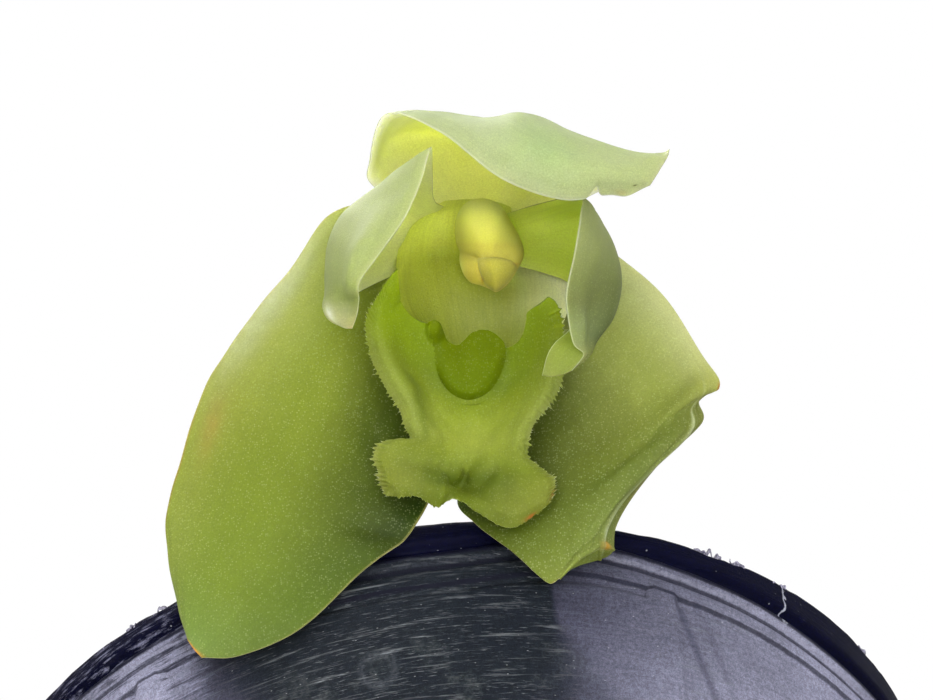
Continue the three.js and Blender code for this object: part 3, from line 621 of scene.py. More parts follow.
# middle holds an organ's colours along its middle, and first and last those at its margins
LOOKS = {
    "hood_inside": dict(
        middle=[(0.0, 232, 241, 140), (0.2, 209, 215, 124), (1.0, 191, 196, 150)],
        first=[(0.0, 226, 235, 140), (0.3, 187, 190, 168), (1.0, 191, 196, 160)],
        margin=(WHITE_EDGE, 0.015, 0.5, 0.2), sparkle=0.06, glow=0.9, depth=0.004, streaks=0.05,
        mottle=0.03),
    "hood_outside": dict(
        middle=[(0.0, 142, 153, 100), (0.5, 147, 157, 113), (0.85, 147, 157, 109),
                (1.0, 149, 157, 109)],
        spots=[((71, 64, 31), (0.12, 0.95), (0.008, 0.006), 1.2),
               ((128, 158, 98), (0.3, 0.7), (0.16, 0.08), 0.35),
               ((150, 127, 75), (0.04, 0.92), (0.03, 0.02), 0.4)],
        margin=((175, 181, 140), 0.016, 0.8, 0.1), sparkle=0.12, glow=0.6, streaks=0.05, mottle=0.07),
    "left_petal_inside": dict(
        # The near-white colours towards the base are partly the petal's own pale colour and partly painted
        # light, standing in for light through the thin tissue into the hollow by the column
        middle=[(0.0, 227, 237, 133), (0.25, 227, 237, 148), (0.5, 223, 231, 157),
                (1.0, 186, 197, 124)],
        margin=(WHITE_EDGE, 0.015, 0.4, 0.35), sparkle=0.06, glow=0.5, depth=0.003, streaks=0.04,
        mottle=0.04),
    "right_petal_inside": dict(
        middle=[(0.0, 197, 214, 84), (0.3, 184, 203, 75), (0.6, 139, 158, 54), (1.0, 116, 126, 54)],
        margin=(WHITE_EDGE, 0.015, 0.4, 0.35), sparkle=0.08, glow=0.5, depth=0.003, streaks=0.06,
        mottle=0.04),
    "left_petal_outside": dict(
        # The darker colours at about three quarters along, in middle and first, are painted shade where the
        # petal turns back and away
        middle=[(0.0, 135, 147, 84), (0.45, 128, 137, 79), (0.7, 110, 119, 64), (0.83, 126, 133, 77),
                (1.0, 160, 157, 115)],
        first=[(0.0, 139, 150, 88), (0.45, 142, 152, 95), (0.72, 146, 156, 96), (0.78, 110, 119, 65),
               (0.9, 123, 126, 76), (1.0, 144, 133, 93)],
        # painted highlight on the lit edge of the lower lobe
        spots=[((188, 189, 167), (0.47, 0.88), (0.05, 0.07), 0.8),
               ((165, 128, 98), (0.1, 1.0), (0.3, 0.02), 0.6)],
        margin=((170, 176, 136), 0.016, 0.5, 0.2), sparkle=0.1, glow=0.6, streaks=0.04, mottle=0.05),
    "right_petal_outside": dict(
        # The darker colours past halfway along are painted shade towards the petal's lower and right edges,
        # over its own grey-green
        middle=[(0.0, 127, 136, 76), (0.35, 125, 133, 78), (0.55, 86, 94, 42), (0.75, 63, 74, 25),
                (1.0, 106, 109, 51)],
        first=[(0.0, 123, 133, 73), (0.35, 123, 130, 76), (0.6, 94, 101, 48), (0.7, 118, 128, 79),
               (0.8, 118, 126, 76), (1.0, 115, 114, 63)],
        spots=[((151, 116, 76), (0.8, 0.96), (0.3, 0.03), 0.6)],
        margin=((166, 172, 132), 0.016, 0.6, 0.2), sparkle=0.1, glow=0.5, streaks=0.04, mottle=0.06),
    "left_sepal_inside": dict(
        middle=[(0.0, 120, 130, 36), (0.25, 115, 127, 34), (0.5, 100, 113, 22), (0.75, 97, 113, 29),
                (0.92, 102, 123, 54), (1.0, 105, 125, 61)],
        first=[(0.0, 153, 161, 77), (0.3, 146, 154, 76), (0.5, 124, 130, 47), (0.75, 114, 125, 47),
               (1.0, 108, 125, 61)],
        # The last colours, at the side by the lip, are a deeper green darkened further with painted shade
        last=[(0.0, 44, 60, 0), (0.3, 8, 22, 0), (0.5, 30, 44, 0), (0.75, 72, 90, 16),
              (1.0, 102, 120, 52)],
        spots=[((141, 115, 51), (0.13, 0.57), (0.06, 0.04), 0.5),
               # painted sheen along the outer margin
               ((180, 183, 155), (0.02, 0.38), (0.09, 0.12), 0.6),
               # painted shadow in the dimple's fold
               ((39, 51, 4), (0.95, 0.57), (0.1, 0.03), 0.7),
               # painted shade by the lip
               ((52, 68, 0), (0.8, 0.34), (0.16, 0.16), 0.7),
               ((125, 70, 31), (0.0, 0.66), (0.012, 0.1), 0.8),
               (ORANGE_TIP, (0.5, 1.0), (0.5, 0.012), 1.1)],
        margin=((148, 140, 77), 0.008, 0.5, 0.1), sparkle=0.14, glow=0.4, depth=0.0014, shine=0.14),
    "right_sepal_inside": dict(
        # In middle and first the band above the crease from the brown corner is lighter and the stretch
        # just below it darker: painted light and shade at the step, over the sepal's own greens
        middle=[(0.0, 139, 147, 71), (0.25, 139, 147, 72), (0.4, 111, 120, 47), (0.55, 86, 97, 32),
                (0.75, 97, 110, 44), (1.0, 101, 112, 44)],
        first=[(0.0, 171, 175, 122), (0.3, 169, 172, 119), (0.42, 147, 150, 77), (0.5, 101, 107, 41),
               (0.65, 102, 110, 52), (0.85, 94, 105, 47), (1.0, 94, 100, 31)],
        # The last colours, at the side by the lip, are a deeper green darkened further with painted shade
        last=[(0.0, 70, 82, 6), (0.35, 44, 56, 0), (0.7, 90, 103, 26), (0.9, 111, 122, 47),
              (1.0, 104, 114, 36)],
        # painted shade by the lip
        spots=[((50, 62, 4), (0.82, 0.25), (0.14, 0.12), 0.5),
               (BROWN_EDGE, (0.0, 0.43), (0.03, 0.012), 1.3),
               ((97, 89, 14), (0.02, 0.46), (0.06, 0.02), 0.7),
               ((169, 175, 135), (0.19, 0.62), (0.01, 0.16), 0.8),
               ((172, 178, 142), (0.19, 0.84), (0.011, 0.09), 0.9),
               ((154, 160, 106), (0.45, 0.925), (0.3, 0.006), 0.6),
               ((91, 84, 34), (0.04, 0.72), (0.08, 0.12), 0.6),
               ((161, 122, 39), (0.14, 0.915), (0.06, 0.012), 1.1),
               (BROWN_EDGE, (1.0, 0.86), (0.02, 0.02), 0.4)],
        sparkle=0.18, glow=0.4, depth=0.0014, shine=0.14),
    "sepal_outside": dict(
        middle=[(0.0, 140, 158, 80), (0.6, 132, 156, 90), (1.0, 130, 156, 98)],
        margin=((196, 180, 116), 0.02, 0.6, 0.1), sparkle=0.15),
    "column_skin": dict(
        middle=[(0.0, 222, 226, 130), (0.25, 200, 201, 88), (0.5, 154, 148, 60), (0.75, 156, 146, 56),
                (1.0, 160, 146, 54)],
        spots=[((181, 188, 98), (0.2, 0.72), (0.035, 0.1), 0.5),
               ((129, 87, 20), (0.42, 0.8), (0.012, 0.06), 0.5),
               ((129, 87, 20), (0.75, 0.67), (0.04, 0.014), 0.5)],
        sparkle=0.05, glow=1.0, depth=0.005, streaks=0.02, mottle=0.03, roughness=0.65, shine=0.1),
    "column_foot_skin": dict(
        # Near the hood the foot is near white, painted light that stands in for light through the thin hood
        # and petals; lower down and on the left it turns dark olive, painted shade of the column, and the
        # spot is more of that painted shade
        middle=[(0.0, 218, 228, 96), (0.25, 220, 230, 88), (0.4, 180, 188, 56), (0.52, 136, 144, 34),
                (0.7, 128, 134, 48), (0.86, 132, 139, 56), (1.0, 137, 146, 51)],
        first=[(0.0, 222, 232, 96), (0.25, 224, 232, 98), (0.42, 214, 222, 92), (0.58, 166, 174, 60),
               (1.0, 124, 134, 36)],
        last=[(0.0, 206, 216, 110), (0.4, 240, 244, 184), (0.75, 240, 244, 180), (1.0, 186, 192, 104)],
        spots=[((132, 141, 26), (0.28, 0.52), (0.12, 0.12), 0.8)],
        sparkle=0.1, glow=0.2, depth=0.003, streaks=0.12, mottle=0.06),
    "anther_skin": dict(
        middle=[(0.0, 154, 150, 66), (0.6, 149, 144, 59), (1.0, 133, 125, 48)],
        spots=[((116, 77, 21), (0.43, 0.84), (0.01, 0.06), 0.5),
               ((116, 77, 21), (0.75, 0.67), (0.03, 0.014), 0.5)],
        sparkle=0.06, glow=0.9, depth=0.004, streaks=0.0, mottle=0.04, roughness=0.65, shine=0.1),
    "lip_inside": dict(
        # The dark band at eight tenths along the middle is a deeper green darkened with painted shade in
        # the middle lobe's hollow
        middle=[(0.0, 85, 104, 0), (0.25, 89, 107, 3), (0.36, 106, 121, 15), (0.5, 126, 139, 41),
                (0.62, 126, 137, 44), (0.7, 106, 118, 32), (0.8, 71, 85, 6), (0.9, 87, 99, 18),
                (1.0, 92, 104, 21)],
        first=[(0.0, 118, 137, 5), (0.14, 120, 139, 7), (0.3, 114, 127, 32), (0.6, 118, 128, 52),
               (0.7, 108, 118, 37), (0.85, 110, 118, 39), (1.0, 106, 113, 38)],
        last=[(0.0, 110, 128, 5), (0.16, 107, 122, 6), (0.3, 105, 117, 32), (0.6, 110, 120, 44),
              (0.75, 106, 117, 34), (1.0, 108, 113, 38)],
        # The first three dark spots are painted shade in the middle lobe's hollow and at the lobes' lower
        # parts, and the fourth is painted shade along the fold of the left strip
        spots=[((60, 73, 0), (0.33, 0.84), (0.09, 0.07), 0.6),
               ((60, 73, 0), (0.5, 0.87), (0.16, 0.06), 0.5),
               ((60, 73, 0), (0.66, 0.82), (0.08, 0.06), 0.5),
               ((70, 84, 0), (0.16, 0.52), (0.04, 0.16), 0.5),
               ((150, 160, 70), (0.5, 0.62), (0.12, 0.07), 0.4),
               ((77, 91, 15), (0.75, 0.99), (0.2, 0.035), 0.5),
               ((77, 91, 15), (0.2, 0.99), (0.2, 0.03), 0.4),
               ((122, 130, 60), (0.03, 0.42), (0.06, 0.2), 0.7),
               ((118, 125, 65), (0.97, 0.5), (0.06, 0.16), 0.7),
               ((137, 145, 76), (1.0, 0.84), (0.02, 0.08), 0.7),
               ((138, 145, 77), (0.0, 0.86), (0.02, 0.14), 0.7),
               (BROWN_EDGE, (0.86, 0.99), (0.03, 0.012), 1.3),
               ((118, 80, 32), (0.995, 0.93), (0.02, 0.03), 0.7)],
        sparkle=0.1, glow=0.5, streaks=0.05, mottle=0.09, shine=0.12),
    "lip_outside": dict(
        middle=[(0.0, 120, 138, 36), (1.0, 140, 152, 70)],
        margin=((176, 186, 116), 0.04, 0.6, 0.1), sparkle=0.1),
    "callus_skin": dict(
        middle=[(0.0, 88, 103, 0), (0.5, 82, 101, 0), (1.0, 72, 93, 0)],
        sparkle=0.08, glow=0.4, streaks=0.0, mottle=0.09, roughness=0.6, shine=0.06),
    "fringe_skin": dict(
        middle=[(0.0, 160, 172, 92), (1.0, 204, 208, 152)],
        sparkle=0.0, streaks=0.0, mottle=0.03),
    "green_stem": dict(
        middle=[(0.0, 118, 134, 56), (0.5, 128, 148, 68), (1.0, 136, 156, 76)],
        sparkle=0.1, glow=0.25, streaks=0.08),
    "stem_sheath": dict(
        middle=[(0.0, 138, 126, 74), (0.5, 144, 150, 84), (1.0, 160, 146, 92)],
        sparkle=0.05, glow=0.3, streaks=0.16, roughness=0.6),
}


def flower_materials():
    return {name: tissue(name, **look) for name, look in LOOKS.items()}


# Flower

DORSAL_SEPAL = [
    [[0.9, 3.9, -7.4], [1.8, 4.3, -7.8], [2.9, 4.6, -8.2], [4, 4.3, -8.6], [4.9, 3.9, -9]],
    [[-7.2, 7.6, -6.8], [-3.6, 9.6, -9.6], [2.1, 9.8, -11.5], [6.4, 8.7, -11], [8.1, 5.3, -8]],
    [[-7.7, 10.2, -3.6], [-5.4, 13, -8.5], [0.1, 13.6, -11.5], [7.7, 12.4, -12], [11.7, 5.8, -10]],
    [[-5.9, 14.1, 2.5], [-2.3, 14.6, -3], [3.1, 14.1, -8], [10.8, 12, -10.5], [15, 7.4, -9.5]],
    [[-0.7, 12, 6.5], [1.5, 13.7, 2], [7, 13.8, -4], [13.6, 11.2, -7.5], [17.5, 7.9, -7.5]],
    [[4.9, 7.5, 9.5], [6, 11.1, 8], [7.9, 13.5, 2], [14.2, 11.1, -3.5], [18.5, 8.3, -5]],
    [[10.5, 5.5, 9.5], [11, 9, 9.5], [12.3, 11.6, 5], [16.2, 10.6, -0.5], [19.3, 8.9, -3]],
    [[14.7, 6, 8.5], [15.4, 8.2, 9], [16.4, 10.1, 6], [18.2, 10.1, 3], [20, 9.6, 0]],
    [[19, 7, 8], [19.7, 8.1, 8], [20.3, 9.1, 8], [20.7, 9.8, 7], [20.9, 10.5, 6]],
]

# The petals, the right sepal, the column's foot and the lip are finer than their solids. Their
# places are given by where the camera sees them in its 933 by 700 picture, and by z in the flower's
# frame.
PETAL_LEFT = seen_at([
    [[449, 208, -9.2], [446, 221, -9], [442, 236, -8.6], [438, 248, -7.8], [434, 258, -7.2]],
    [[434, 200, -1.6], [424, 208, -5], [415, 225, -6.8], [411, 245, -6.6], [410, 264, -5.9]],
    [[432, 172, 3], [402, 190, -1.6], [387, 215, -5.2], [385, 246, -5.2], [392, 275, -3.4]],
    [[431, 147, 7], [388, 179, 2.6], [362, 207, -2.6], [356, 248, -3], [371, 285, -0.5]],
    [[420, 184, 9.5], [376, 206, 5.6], [344, 214, 0.6], [338, 255, -0.6], [355, 294, 2.4]],
    [[404, 219, 10.5], [364, 232, 7.8], [332, 238, 2.8], [334, 268, 2], [351, 302, 4.4]],
    [[383, 249, 11], [354, 256, 9.2], [328, 266, 4.6], [334, 285, 4.2], [349, 309, 6.2]],
    [[360, 281, 11.2], [350, 282, 10], [328, 290, 6.6], [331, 302, 6.2], [342, 316, 6.8]],
    [[359, 299, 9.6], [351, 301, 8.6], [326, 305, 7.6], [330, 310, 7.2], [340, 318, 7.4]],
    [[357, 314, 9.8], [348, 318, 9.3], [331, 318, 8.8], [335, 321, 8.5], [341, 325, 8.4]],
    [[352, 328, 9.3], [349, 328, 9.2], [346, 328, 9.1], [343, 327, 9], [341, 326, 8.9]],
])

PETAL_RIGHT = seen_at([
    [[503, 214, -8.6], [507, 228, -8.4], [509, 240, -7.8], [509, 250, -7.2], [508, 259, -6.6]],
    [[541, 203, -1.6], [542, 212, -4.6], [540, 225, -6], [531, 246, -5.9], [520, 266, -4.8]],
    [[579, 196, 4.5], [583, 203, 0.4], [582, 214, -5], [563, 246, -6], [541, 272, -4.8]],
    [[580, 214, 7.5], [597, 222, 3.4], [604, 236, -2.4], [588, 262, -4.2], [564, 280, -3.2]],
    [[574, 252, 9.5], [600, 250, 6], [616, 258, 0.4], [603, 284, -1.6], [578, 294, 0.5]],
    [[566, 290, 10.5], [590, 288, 7.6], [619, 284, 2.8], [604, 305, 1.6], [577, 312, 4]],
    [[567, 314, 11], [583, 318, 8.8], [611, 314, 5.4], [598, 328, 4.2], [568, 330, 5.8]],
    [[573, 343, 10.8], [583, 341, 9.4], [595, 340, 8], [578, 345, 7.4], [555, 342, 7.2]],
    [[583, 354, 10.2], [585, 355, 9.8], [584, 358, 9.4], [566, 357, 8.4], [547, 355, 7.8]],
    [[572, 370, 10], [565, 373, 9.7], [558, 375, 9.3], [550, 376, 8.9], [542, 375, 8.5]],
])

LATERAL_SEPAL_LEFT = [
    [[0.3, 2.6, -7.6], [0.3, 0.2, -7.4], [0.9, -2, -7]],
    [[-6.4, 6, -8.8], [-5.3, -2.5, -6.8], [-0.8, -8.5, -6.2]],
    [[-11.8, 5.1, -7.5], [-9.7, -5.6, -4.5], [-1.1, -15.4, -4.2]],
    [[-15.7, -0.4, -6], [-12.7, -11.5, -2.5], [-1.2, -20.2, -1.5]],
    [[-20.5, -6.5, -4.5], [-15.3, -17.2, -0.3], [-1.9, -23.2, 1.6]],
    [[-23.9, -12.4, -3], [-18.1, -22, 1.5], [-4, -26.1, 4.6]],
    [[-26.3, -20.2, -1], [-20.6, -27.1, 3.6], [-8.2, -29.4, 6.6]],
    [[-27.3, -26.3, 1.5], [-22.6, -31.4, 6], [-13.7, -34.5, 8.8]],
    [[-25.7, -32.7, 4.8], [-23.6, -34.8, 7], [-19.3, -37, 9]],
    [[-24.4, -35.8, 7], [-23.7, -36.6, 7.8], [-23, -37.2, 8.5]],
]

LATERAL_SEPAL_RIGHT = seen_at([
    [[501, 239, -7.6], [501, 248, -7.5], [501, 258, -7.4], [500, 266, -7.3], [498, 275, -7.2],
     [495, 284, -7]],
    [[564, 219, -8.6], [560, 240, -8], [552, 270, -7.3], [540, 299, -6.7], [520, 326, -6.4],
     [492, 350, -6.2]],
    [[618, 256, -7.5], [610, 278, -6.7], [600, 308, -5.8], [585, 340, -5], [545, 378, -4.4],
     [485, 410, -4.2]],
    [[664, 296, -6.5], [655, 318, -5.5], [638, 345, -4.4], [612, 376, -3.2], [552, 420, -2.2],
     [476, 460, -1.5]],
    [[699, 350, -5], [690, 362, -4], [668, 380, -2.6], [632, 408, -1], [560, 455, 0.6],
     [457, 500, 1.6]],
    [[717, 383, -3.8], [700, 386, -2.6], [676, 402, -0.9], [638, 432, 0.8], [565, 480, 2.6],
     [474, 522, 3.8]],
    [[699, 400, -2.8], [690, 408, -1.2], [668, 424, 0.5], [634, 452, 2], [568, 497, 3.9],
     [494, 538, 5.2]],
    [[702, 422, -1], [688, 429, 0.6], [660, 445, 2], [624, 471, 3.3], [572, 512, 4.9],
     [508, 548, 6]],
    [[664, 458, 0.6], [652, 464, 2.2], [634, 480, 3.4], [608, 502, 4.4], [570, 532, 5.8],
     [522, 560, 6.8]],
    [[633, 496, 2.2], [621, 497, 3.8], [610, 510, 4.8], [592, 526, 5.4], [566, 550, 6.6],
     [538, 575, 7.4]],
    [[616, 526, 3.4], [605, 524, 5], [596, 534, 5.6], [584, 545, 6.2], [568, 562, 7],
     [550, 583, 7.8]],
    [[613, 549, 4.2], [600, 544, 5.8], [590, 549, 6.3], [580, 555, 6.8], [570, 565, 7.3],
     [559, 578, 7.7]],
    [[607, 556, 3.4], [599, 559, 4.4], [589, 562, 5.2], [579, 565, 6], [569, 570, 6.8],
     [560, 579, 7.5]],
])

COLUMN_FOOT = seen_at([
    [[432, 204, -5.9], [441, 203, -7.8], [453, 202, -8.3], [472, 201, -8.9], [498, 204, -9.3],
     [521, 213, -8.9], [546, 229, -8.5], [577, 249, -7.6]],
    [[419, 213, -6.8], [431, 212, -6.2], [447, 212, -6.1], [472, 211, -7.2], [499, 216, -8],
     [524, 231, -8.2], [548, 244, -7.3], [575, 258, -6.6]],
    [[404, 232, -7], [419, 229, -6.1], [443, 228, -5.6], [472, 233, -7], [500, 238, -7.6],
     [526, 250, -7.3], [550, 259, -6.7], [574, 268, -6]],
    [[397, 256, -4.8], [413, 250, -5.4], [441, 249, -5.2], [474, 256, -6.2], [502, 258, -6.1],
     [528, 266, -6.3], [551, 271, -5.9], [573, 279, -5.2]],
    [[396, 276, -1.5], [412, 272, -3.6], [442, 272, -4.6], [478, 278, -5], [508, 280, -4.8],
     [532, 282, -4.9], [552, 286, -4.6], [571, 293, -4]],
    [[397, 294, -0.2], [415, 294, -2.4], [446, 297, -4], [480, 300, -4.2], [510, 300, -3.8],
     [534, 299, -3.6], [552, 303, -3.2], [568, 308, -2.6]],
    [[404, 313, -0.4], [424, 317, -2.2], [452, 324, -3.7], [482, 326, -3.9], [509, 323, -3.4],
     [532, 318, -2.8], [548, 320, -2.4], [562, 324, -2]],
    [[420, 332, -0.9], [436, 340, -2], [458, 352, -3], [482, 356, -3.1], [507, 350, -2.6],
     [526, 340, -1.8], [540, 338, -1.6], [552, 340, -1.5]],
])

LIP = seen_at([
    [[397, 268, 5], [397, 299, 2.6], [430, 322, 1.2], [456, 346, -0.2], [484, 330, 0], [506, 348, 0.2],
     [526, 322, 1.8], [537, 305, 3], [548, 297, 4]],
    [[386.5, 281, 4.6], [391, 309, 2.8], [426, 336, 1], [455, 358, 0.2], [482, 350, 0.6], [507, 360, 0.4],
     [529, 336, 1.6], [543, 312, 2.9], [556, 303, 3.8]],
    [[377, 297, 4], [385, 320, 3], [422, 350, 0.9], [453, 370, 0.4], [481, 366, 0.8], [507, 371, 0.5],
     [531, 350, 1.5], [549, 326, 2.9], [561, 320, 3.4]],
    [[367, 318, 3.4], [383, 334, 3.2], [420, 362, 0.8], [451, 380, 0.4], [480, 380, 0.8], [507, 382, 0.5],
     [532, 362, 1.5], [551, 340, 2.9], [563, 338, 3.1]],
    [[368, 341, 3], [386, 348, 3.3], [419, 373, 0.8], [449, 389, 0.5], [479, 392, 0.7], [506, 391, 0.6],
     [531, 373, 1.5], [552, 354, 3], [563, 357, 2.9]],
    [[374, 363, 2.8], [391, 362, 3.3], [420, 384, 0.9], [448, 398, 0.7], [477, 402, 0.8],
     [504, 400, 0.8], [528, 385, 1.6], [550, 370, 3.1], [562, 376, 2.8]],
    [[385, 385, 2.7], [401, 380, 3.3], [424, 396, 1.2], [448, 408, 1.1], [475, 412, 1.1],
     [501, 410, 1.2], [524, 398, 1.8], [546, 387, 3.1], [554, 396, 2.7]],
    [[397, 404, 2.8], [410, 398, 3.3], [429, 409, 1.7], [449, 419, 1.7], [473, 423, 1.7],
     [497, 420, 1.8], [519, 410, 2.2], [538, 402, 3.1], [546, 407, 2.8]],
    [[405, 424, 3], [416, 418, 3.4], [432, 425, 2.6], [449, 432, 2.6], [471, 436, 2.4], [494, 433, 2.6],
     [514, 425, 2.8], [528, 419, 3.2], [535, 420, 3]],
    [[409, 440, 3.4], [421, 438, 3.9], [435, 442, 3.9], [449, 446, 4], [469, 451, 3.6], [491, 450, 4],
     [508, 447, 3.9], [520, 444, 3.7], [527, 444, 3.4]],
    [[382, 442, 3.8], [404, 448, 4.6], [427, 454, 4.9], [446, 460, 5], [467, 465, 4.2], [490, 464, 5],
     [509, 463, 4.9], [523, 461, 4.4], [531, 462, 3.8]],
    [[374, 456, 4], [397, 460, 5], [423, 466, 5.6], [444, 472, 5.4], [464, 476, 4.2], [489, 476, 5.6],
     [512, 476, 5.8], [533, 475, 5.2], [546, 472, 4.4]],
    [[378, 471, 4.4], [398, 473, 5.5], [421, 477, 6.1], [443, 481, 5.8], [461, 484, 4.4], [486, 488, 6],
     [512, 489, 6.4], [537, 487, 6], [554, 480, 4.9]],
    [[381, 484, 4.8], [399, 485, 5.9], [420, 487, 6.4], [441, 489, 6.2], [458, 490, 5], [482, 502, 6.6],
     [511, 507, 7], [536, 502, 6.5], [552, 494, 5.4]],
    [[387, 495, 5.2], [401, 496, 6.1], [419, 496, 6.6], [436, 506, 6.2], [455, 497, 5.8],
     [477, 511, 7], [508, 527, 7.4], [532, 516, 6.8], [546, 506, 6]],
])

# The lip's upper edge, with its two horns and the end of its tongue: share across, then the place
LIP_TOP = [
    [0, 397, 268], [0.04, 396.5, 280], [0.08, 397, 291], [0.125, 397, 299], [0.16, 403, 308],
    [0.19, 411, 316], [0.22, 421, 321.5], [0.25, 430, 323.5], [0.27, 434, 321.5], [0.29, 437, 324],
    [0.31, 440, 331], [0.33, 443, 338], [0.35, 447, 343], [0.375, 454, 346.5], [0.4, 460, 346],
    [0.43, 467, 340], [0.46, 473, 333.5], [0.5, 481, 330.3], [0.53, 488, 331], [0.56, 494, 334],
    [0.59, 500, 339.5], [0.61, 503.5, 344], [0.625, 505.5, 348], [0.65, 510, 347.5], [0.68, 516, 344.5],
    [0.71, 521.5, 339], [0.74, 525, 332], [0.765, 526.5, 323], [0.79, 527.2, 312], [0.82, 531.5, 308],
    [0.86, 537, 305], [0.91, 542.5, 301.5], [0.96, 546.5, 297.5], [1, 549, 297],
]
# Each fold's place across, how that changes along the lip, and its depth
LIP_FOLDS = ((0.505, 0.0, 0.45), (0.4, 0.5, 0.3), (0.62, -0.5, 0.3), (0.3, 0.9, 0.15))
TOOTH_PITCH = 0.38
TOOTH_LENGTH = 0.5
TOOTH_POWER = 1.7
HAIR_COUNT = 46
HAIR_LENGTH = 0.3

# The column's outline from its top, anticlockwise, and the outline of the cap at its tip
COLUMN_OUTLINE = [
    [483, 198, -5.5], [470, 200, -5], [461, 207, -4.5], [455.5, 219, -3.5], [454.5, 231, -2],
    [456, 243, 0], [459.3, 251, 2.5], [459, 259, 5], [460.5, 267, 6.6], [464.5, 276, 7.6],
    [471, 282.5, 8.2], [480, 285, 8.6], [489, 288.5, 9], [496, 291.7, 9.4], [503.5, 287.5, 9],
    [510, 281, 8.2], [515, 273, 7.2], [519.5, 265, 5.8], [523, 257, 4], [523.4, 249, 2],
    [520.5, 239, 0], [515.5, 229, -2], [509, 218, -3.5], [502, 207, -4.5], [493, 200.5, -5.2],
]
COLUMN_TIP = np.array([491, 262, 11.2])
COLUMN_BASE = np.array([484, 228, -7.6])
COLUMN_BASE_RADIUS = 15
COLUMN_CORNER = (440, 190)
COLUMN_EXTENT = (100, 110)
CAP_OUTLINE = [
    [478, 258.5], [488, 256.5], [498, 256.5], [507, 258.5], [513.5, 262], [516.5, 267], [513, 274.5],
    [508.5, 281.5], [503, 287.2], [496, 291.2], [489.5, 288], [485, 284], [481.5, 276.5], [478.5, 267.5],
]
CAP_CENTRE = np.array([495.5, 272.5])
# Each seam beside the cap, with its width and depth
SEAMS = [
    ([[477, 257.5], [478.5, 267.5], [481.5, 276.5], [485, 284.5], [490, 289]], 1.8, 0.3),
    ([[511, 260.5], [515, 263], [519, 267]], 1.8, 0.25),
    ([[459, 251.5], [466, 253], [474, 256.5]], 3.0, 0.35),
]
TONGUE = [
    [430, 290], [431, 333], [433, 348], [437, 366], [444, 382], [453, 392], [464, 397], [476, 396],
    [488, 388], [497, 375], [503, 361], [506, 348], [507, 290],
]
OVARY_LINE = [[2.8, 1.2, -7.9], [2.9, 1, -12], [3, 0.8, -16], [3, 0.8, -19.6]]
OVARY_SIZES = [[1.9, 1.8], [2.3, 2.2], [2, 2], [1.6, 1.6]]


def add_organ(shape, net, counts, lift=None, thin=0.08, reach=1.6, kinds=(0, 1), margin=None):
    """An organ from its net. lift gives how far the middle surface is pushed towards the mouth, and
    margin how far its first side margin is moved outward."""
    along = toward_the_end(counts[0])
    over = toward_both_ends(counts[1])
    grid = net_surface(net, along, over)
    if lift is not None:
        pushed = lift(*np.meshgrid(over, along))
        grid = grid + normals_toward(grid, MOUTH) * pushed[..., None]
    if margin is not None:
        grid = shift_margin(grid, margin(along), 1.2)
    depth = blade_thickness(grid, SKIN, thin, reach)
    add_blade(shape, in_pot_frame(grid), depth, along, over, in_pot_frame(MOUTH), kinds)


def veins(u, v, count, depth):
    """Shallow furrows along an organ that fade at its base and tip."""
    return -depth * np.cos(2 * np.pi * count * u) * np.sin(np.pi * np.clip(v, 0, 1)) ** 0.5


def hood_lift(u, v):
    back = 0.3 * bump_at(v, 0.49, 0.05) - 0.5 * bump_at(v, 0.59, 0.07)
    return veins(u, v, 7, 0.03) + back * smooth_step(u, 0.1, 0.4)


def hood_margin(v):
    """The near margin curls in at one place and bulges before the tip."""
    return 0.65 * bump_at(v, 0.945, 0.04) - 1.0 * bump_at(v, 0.842, 0.013)


def left_petal_lift(u, v):
    ridge = 0.35 * bump_at(u, 0.22, 0.08) * smooth_step(v, 0.4, 0.6) * (1 - smooth_step(v, 0.7, 0.76))
    return veins(u, v, 5, 0.025) - ridge


def right_petal_lift(u, v):
    ridge = 0.3 * bump_at(u, 0.2, 0.06) * bump_at(v, 0.7, 0.08)
    return veins(u, v, 5, 0.025) - ridge


def left_sepal_lift(u, v):
    dimple = 0.8 * bump_at(u, 0.92, 0.1) * bump_at(v, 0.56, 0.035)
    wave = 0.15 * np.sin(13 * v + 3 * u) * np.abs(2 * u - 1) ** 3
    return veins(u, v, 8, 0.03) - dimple + wave * smooth_step(v, 0.3, 0.6)


def left_sepal_margin(v):
    """The outer margin is slightly uneven, with a shallow nick before the tip."""
    uneven = 0.06 * np.sin(37 * v) + 0.04 * np.sin(83 * v + 1)
    return uneven * smooth_step(v, 0.2, 0.4) - 0.3 * bump_at(v, 0.79, 0.025)


def right_sepal_lift(u, v):
    """A sharp step runs inward from the brown corner, and a fine crest along the rolled margin."""
    from_crease = v - (0.433 + 0.035 * u)
    width = np.where(from_crease < 0, 0.05, 0.013)
    crease = 0.5 * np.exp(-((from_crease / width) ** 2)) * smooth_step(0.62 - u, 0.0, 0.35)
    crest = 0.22 * bump_at(u, 0.2, 0.022) * smooth_step(v, 0.52, 0.6)
    hem = 0.2 * bump_at(v, 11 / 12, 0.008)
    return veins(u, v, 8, 0.03) + crease + crest + hem


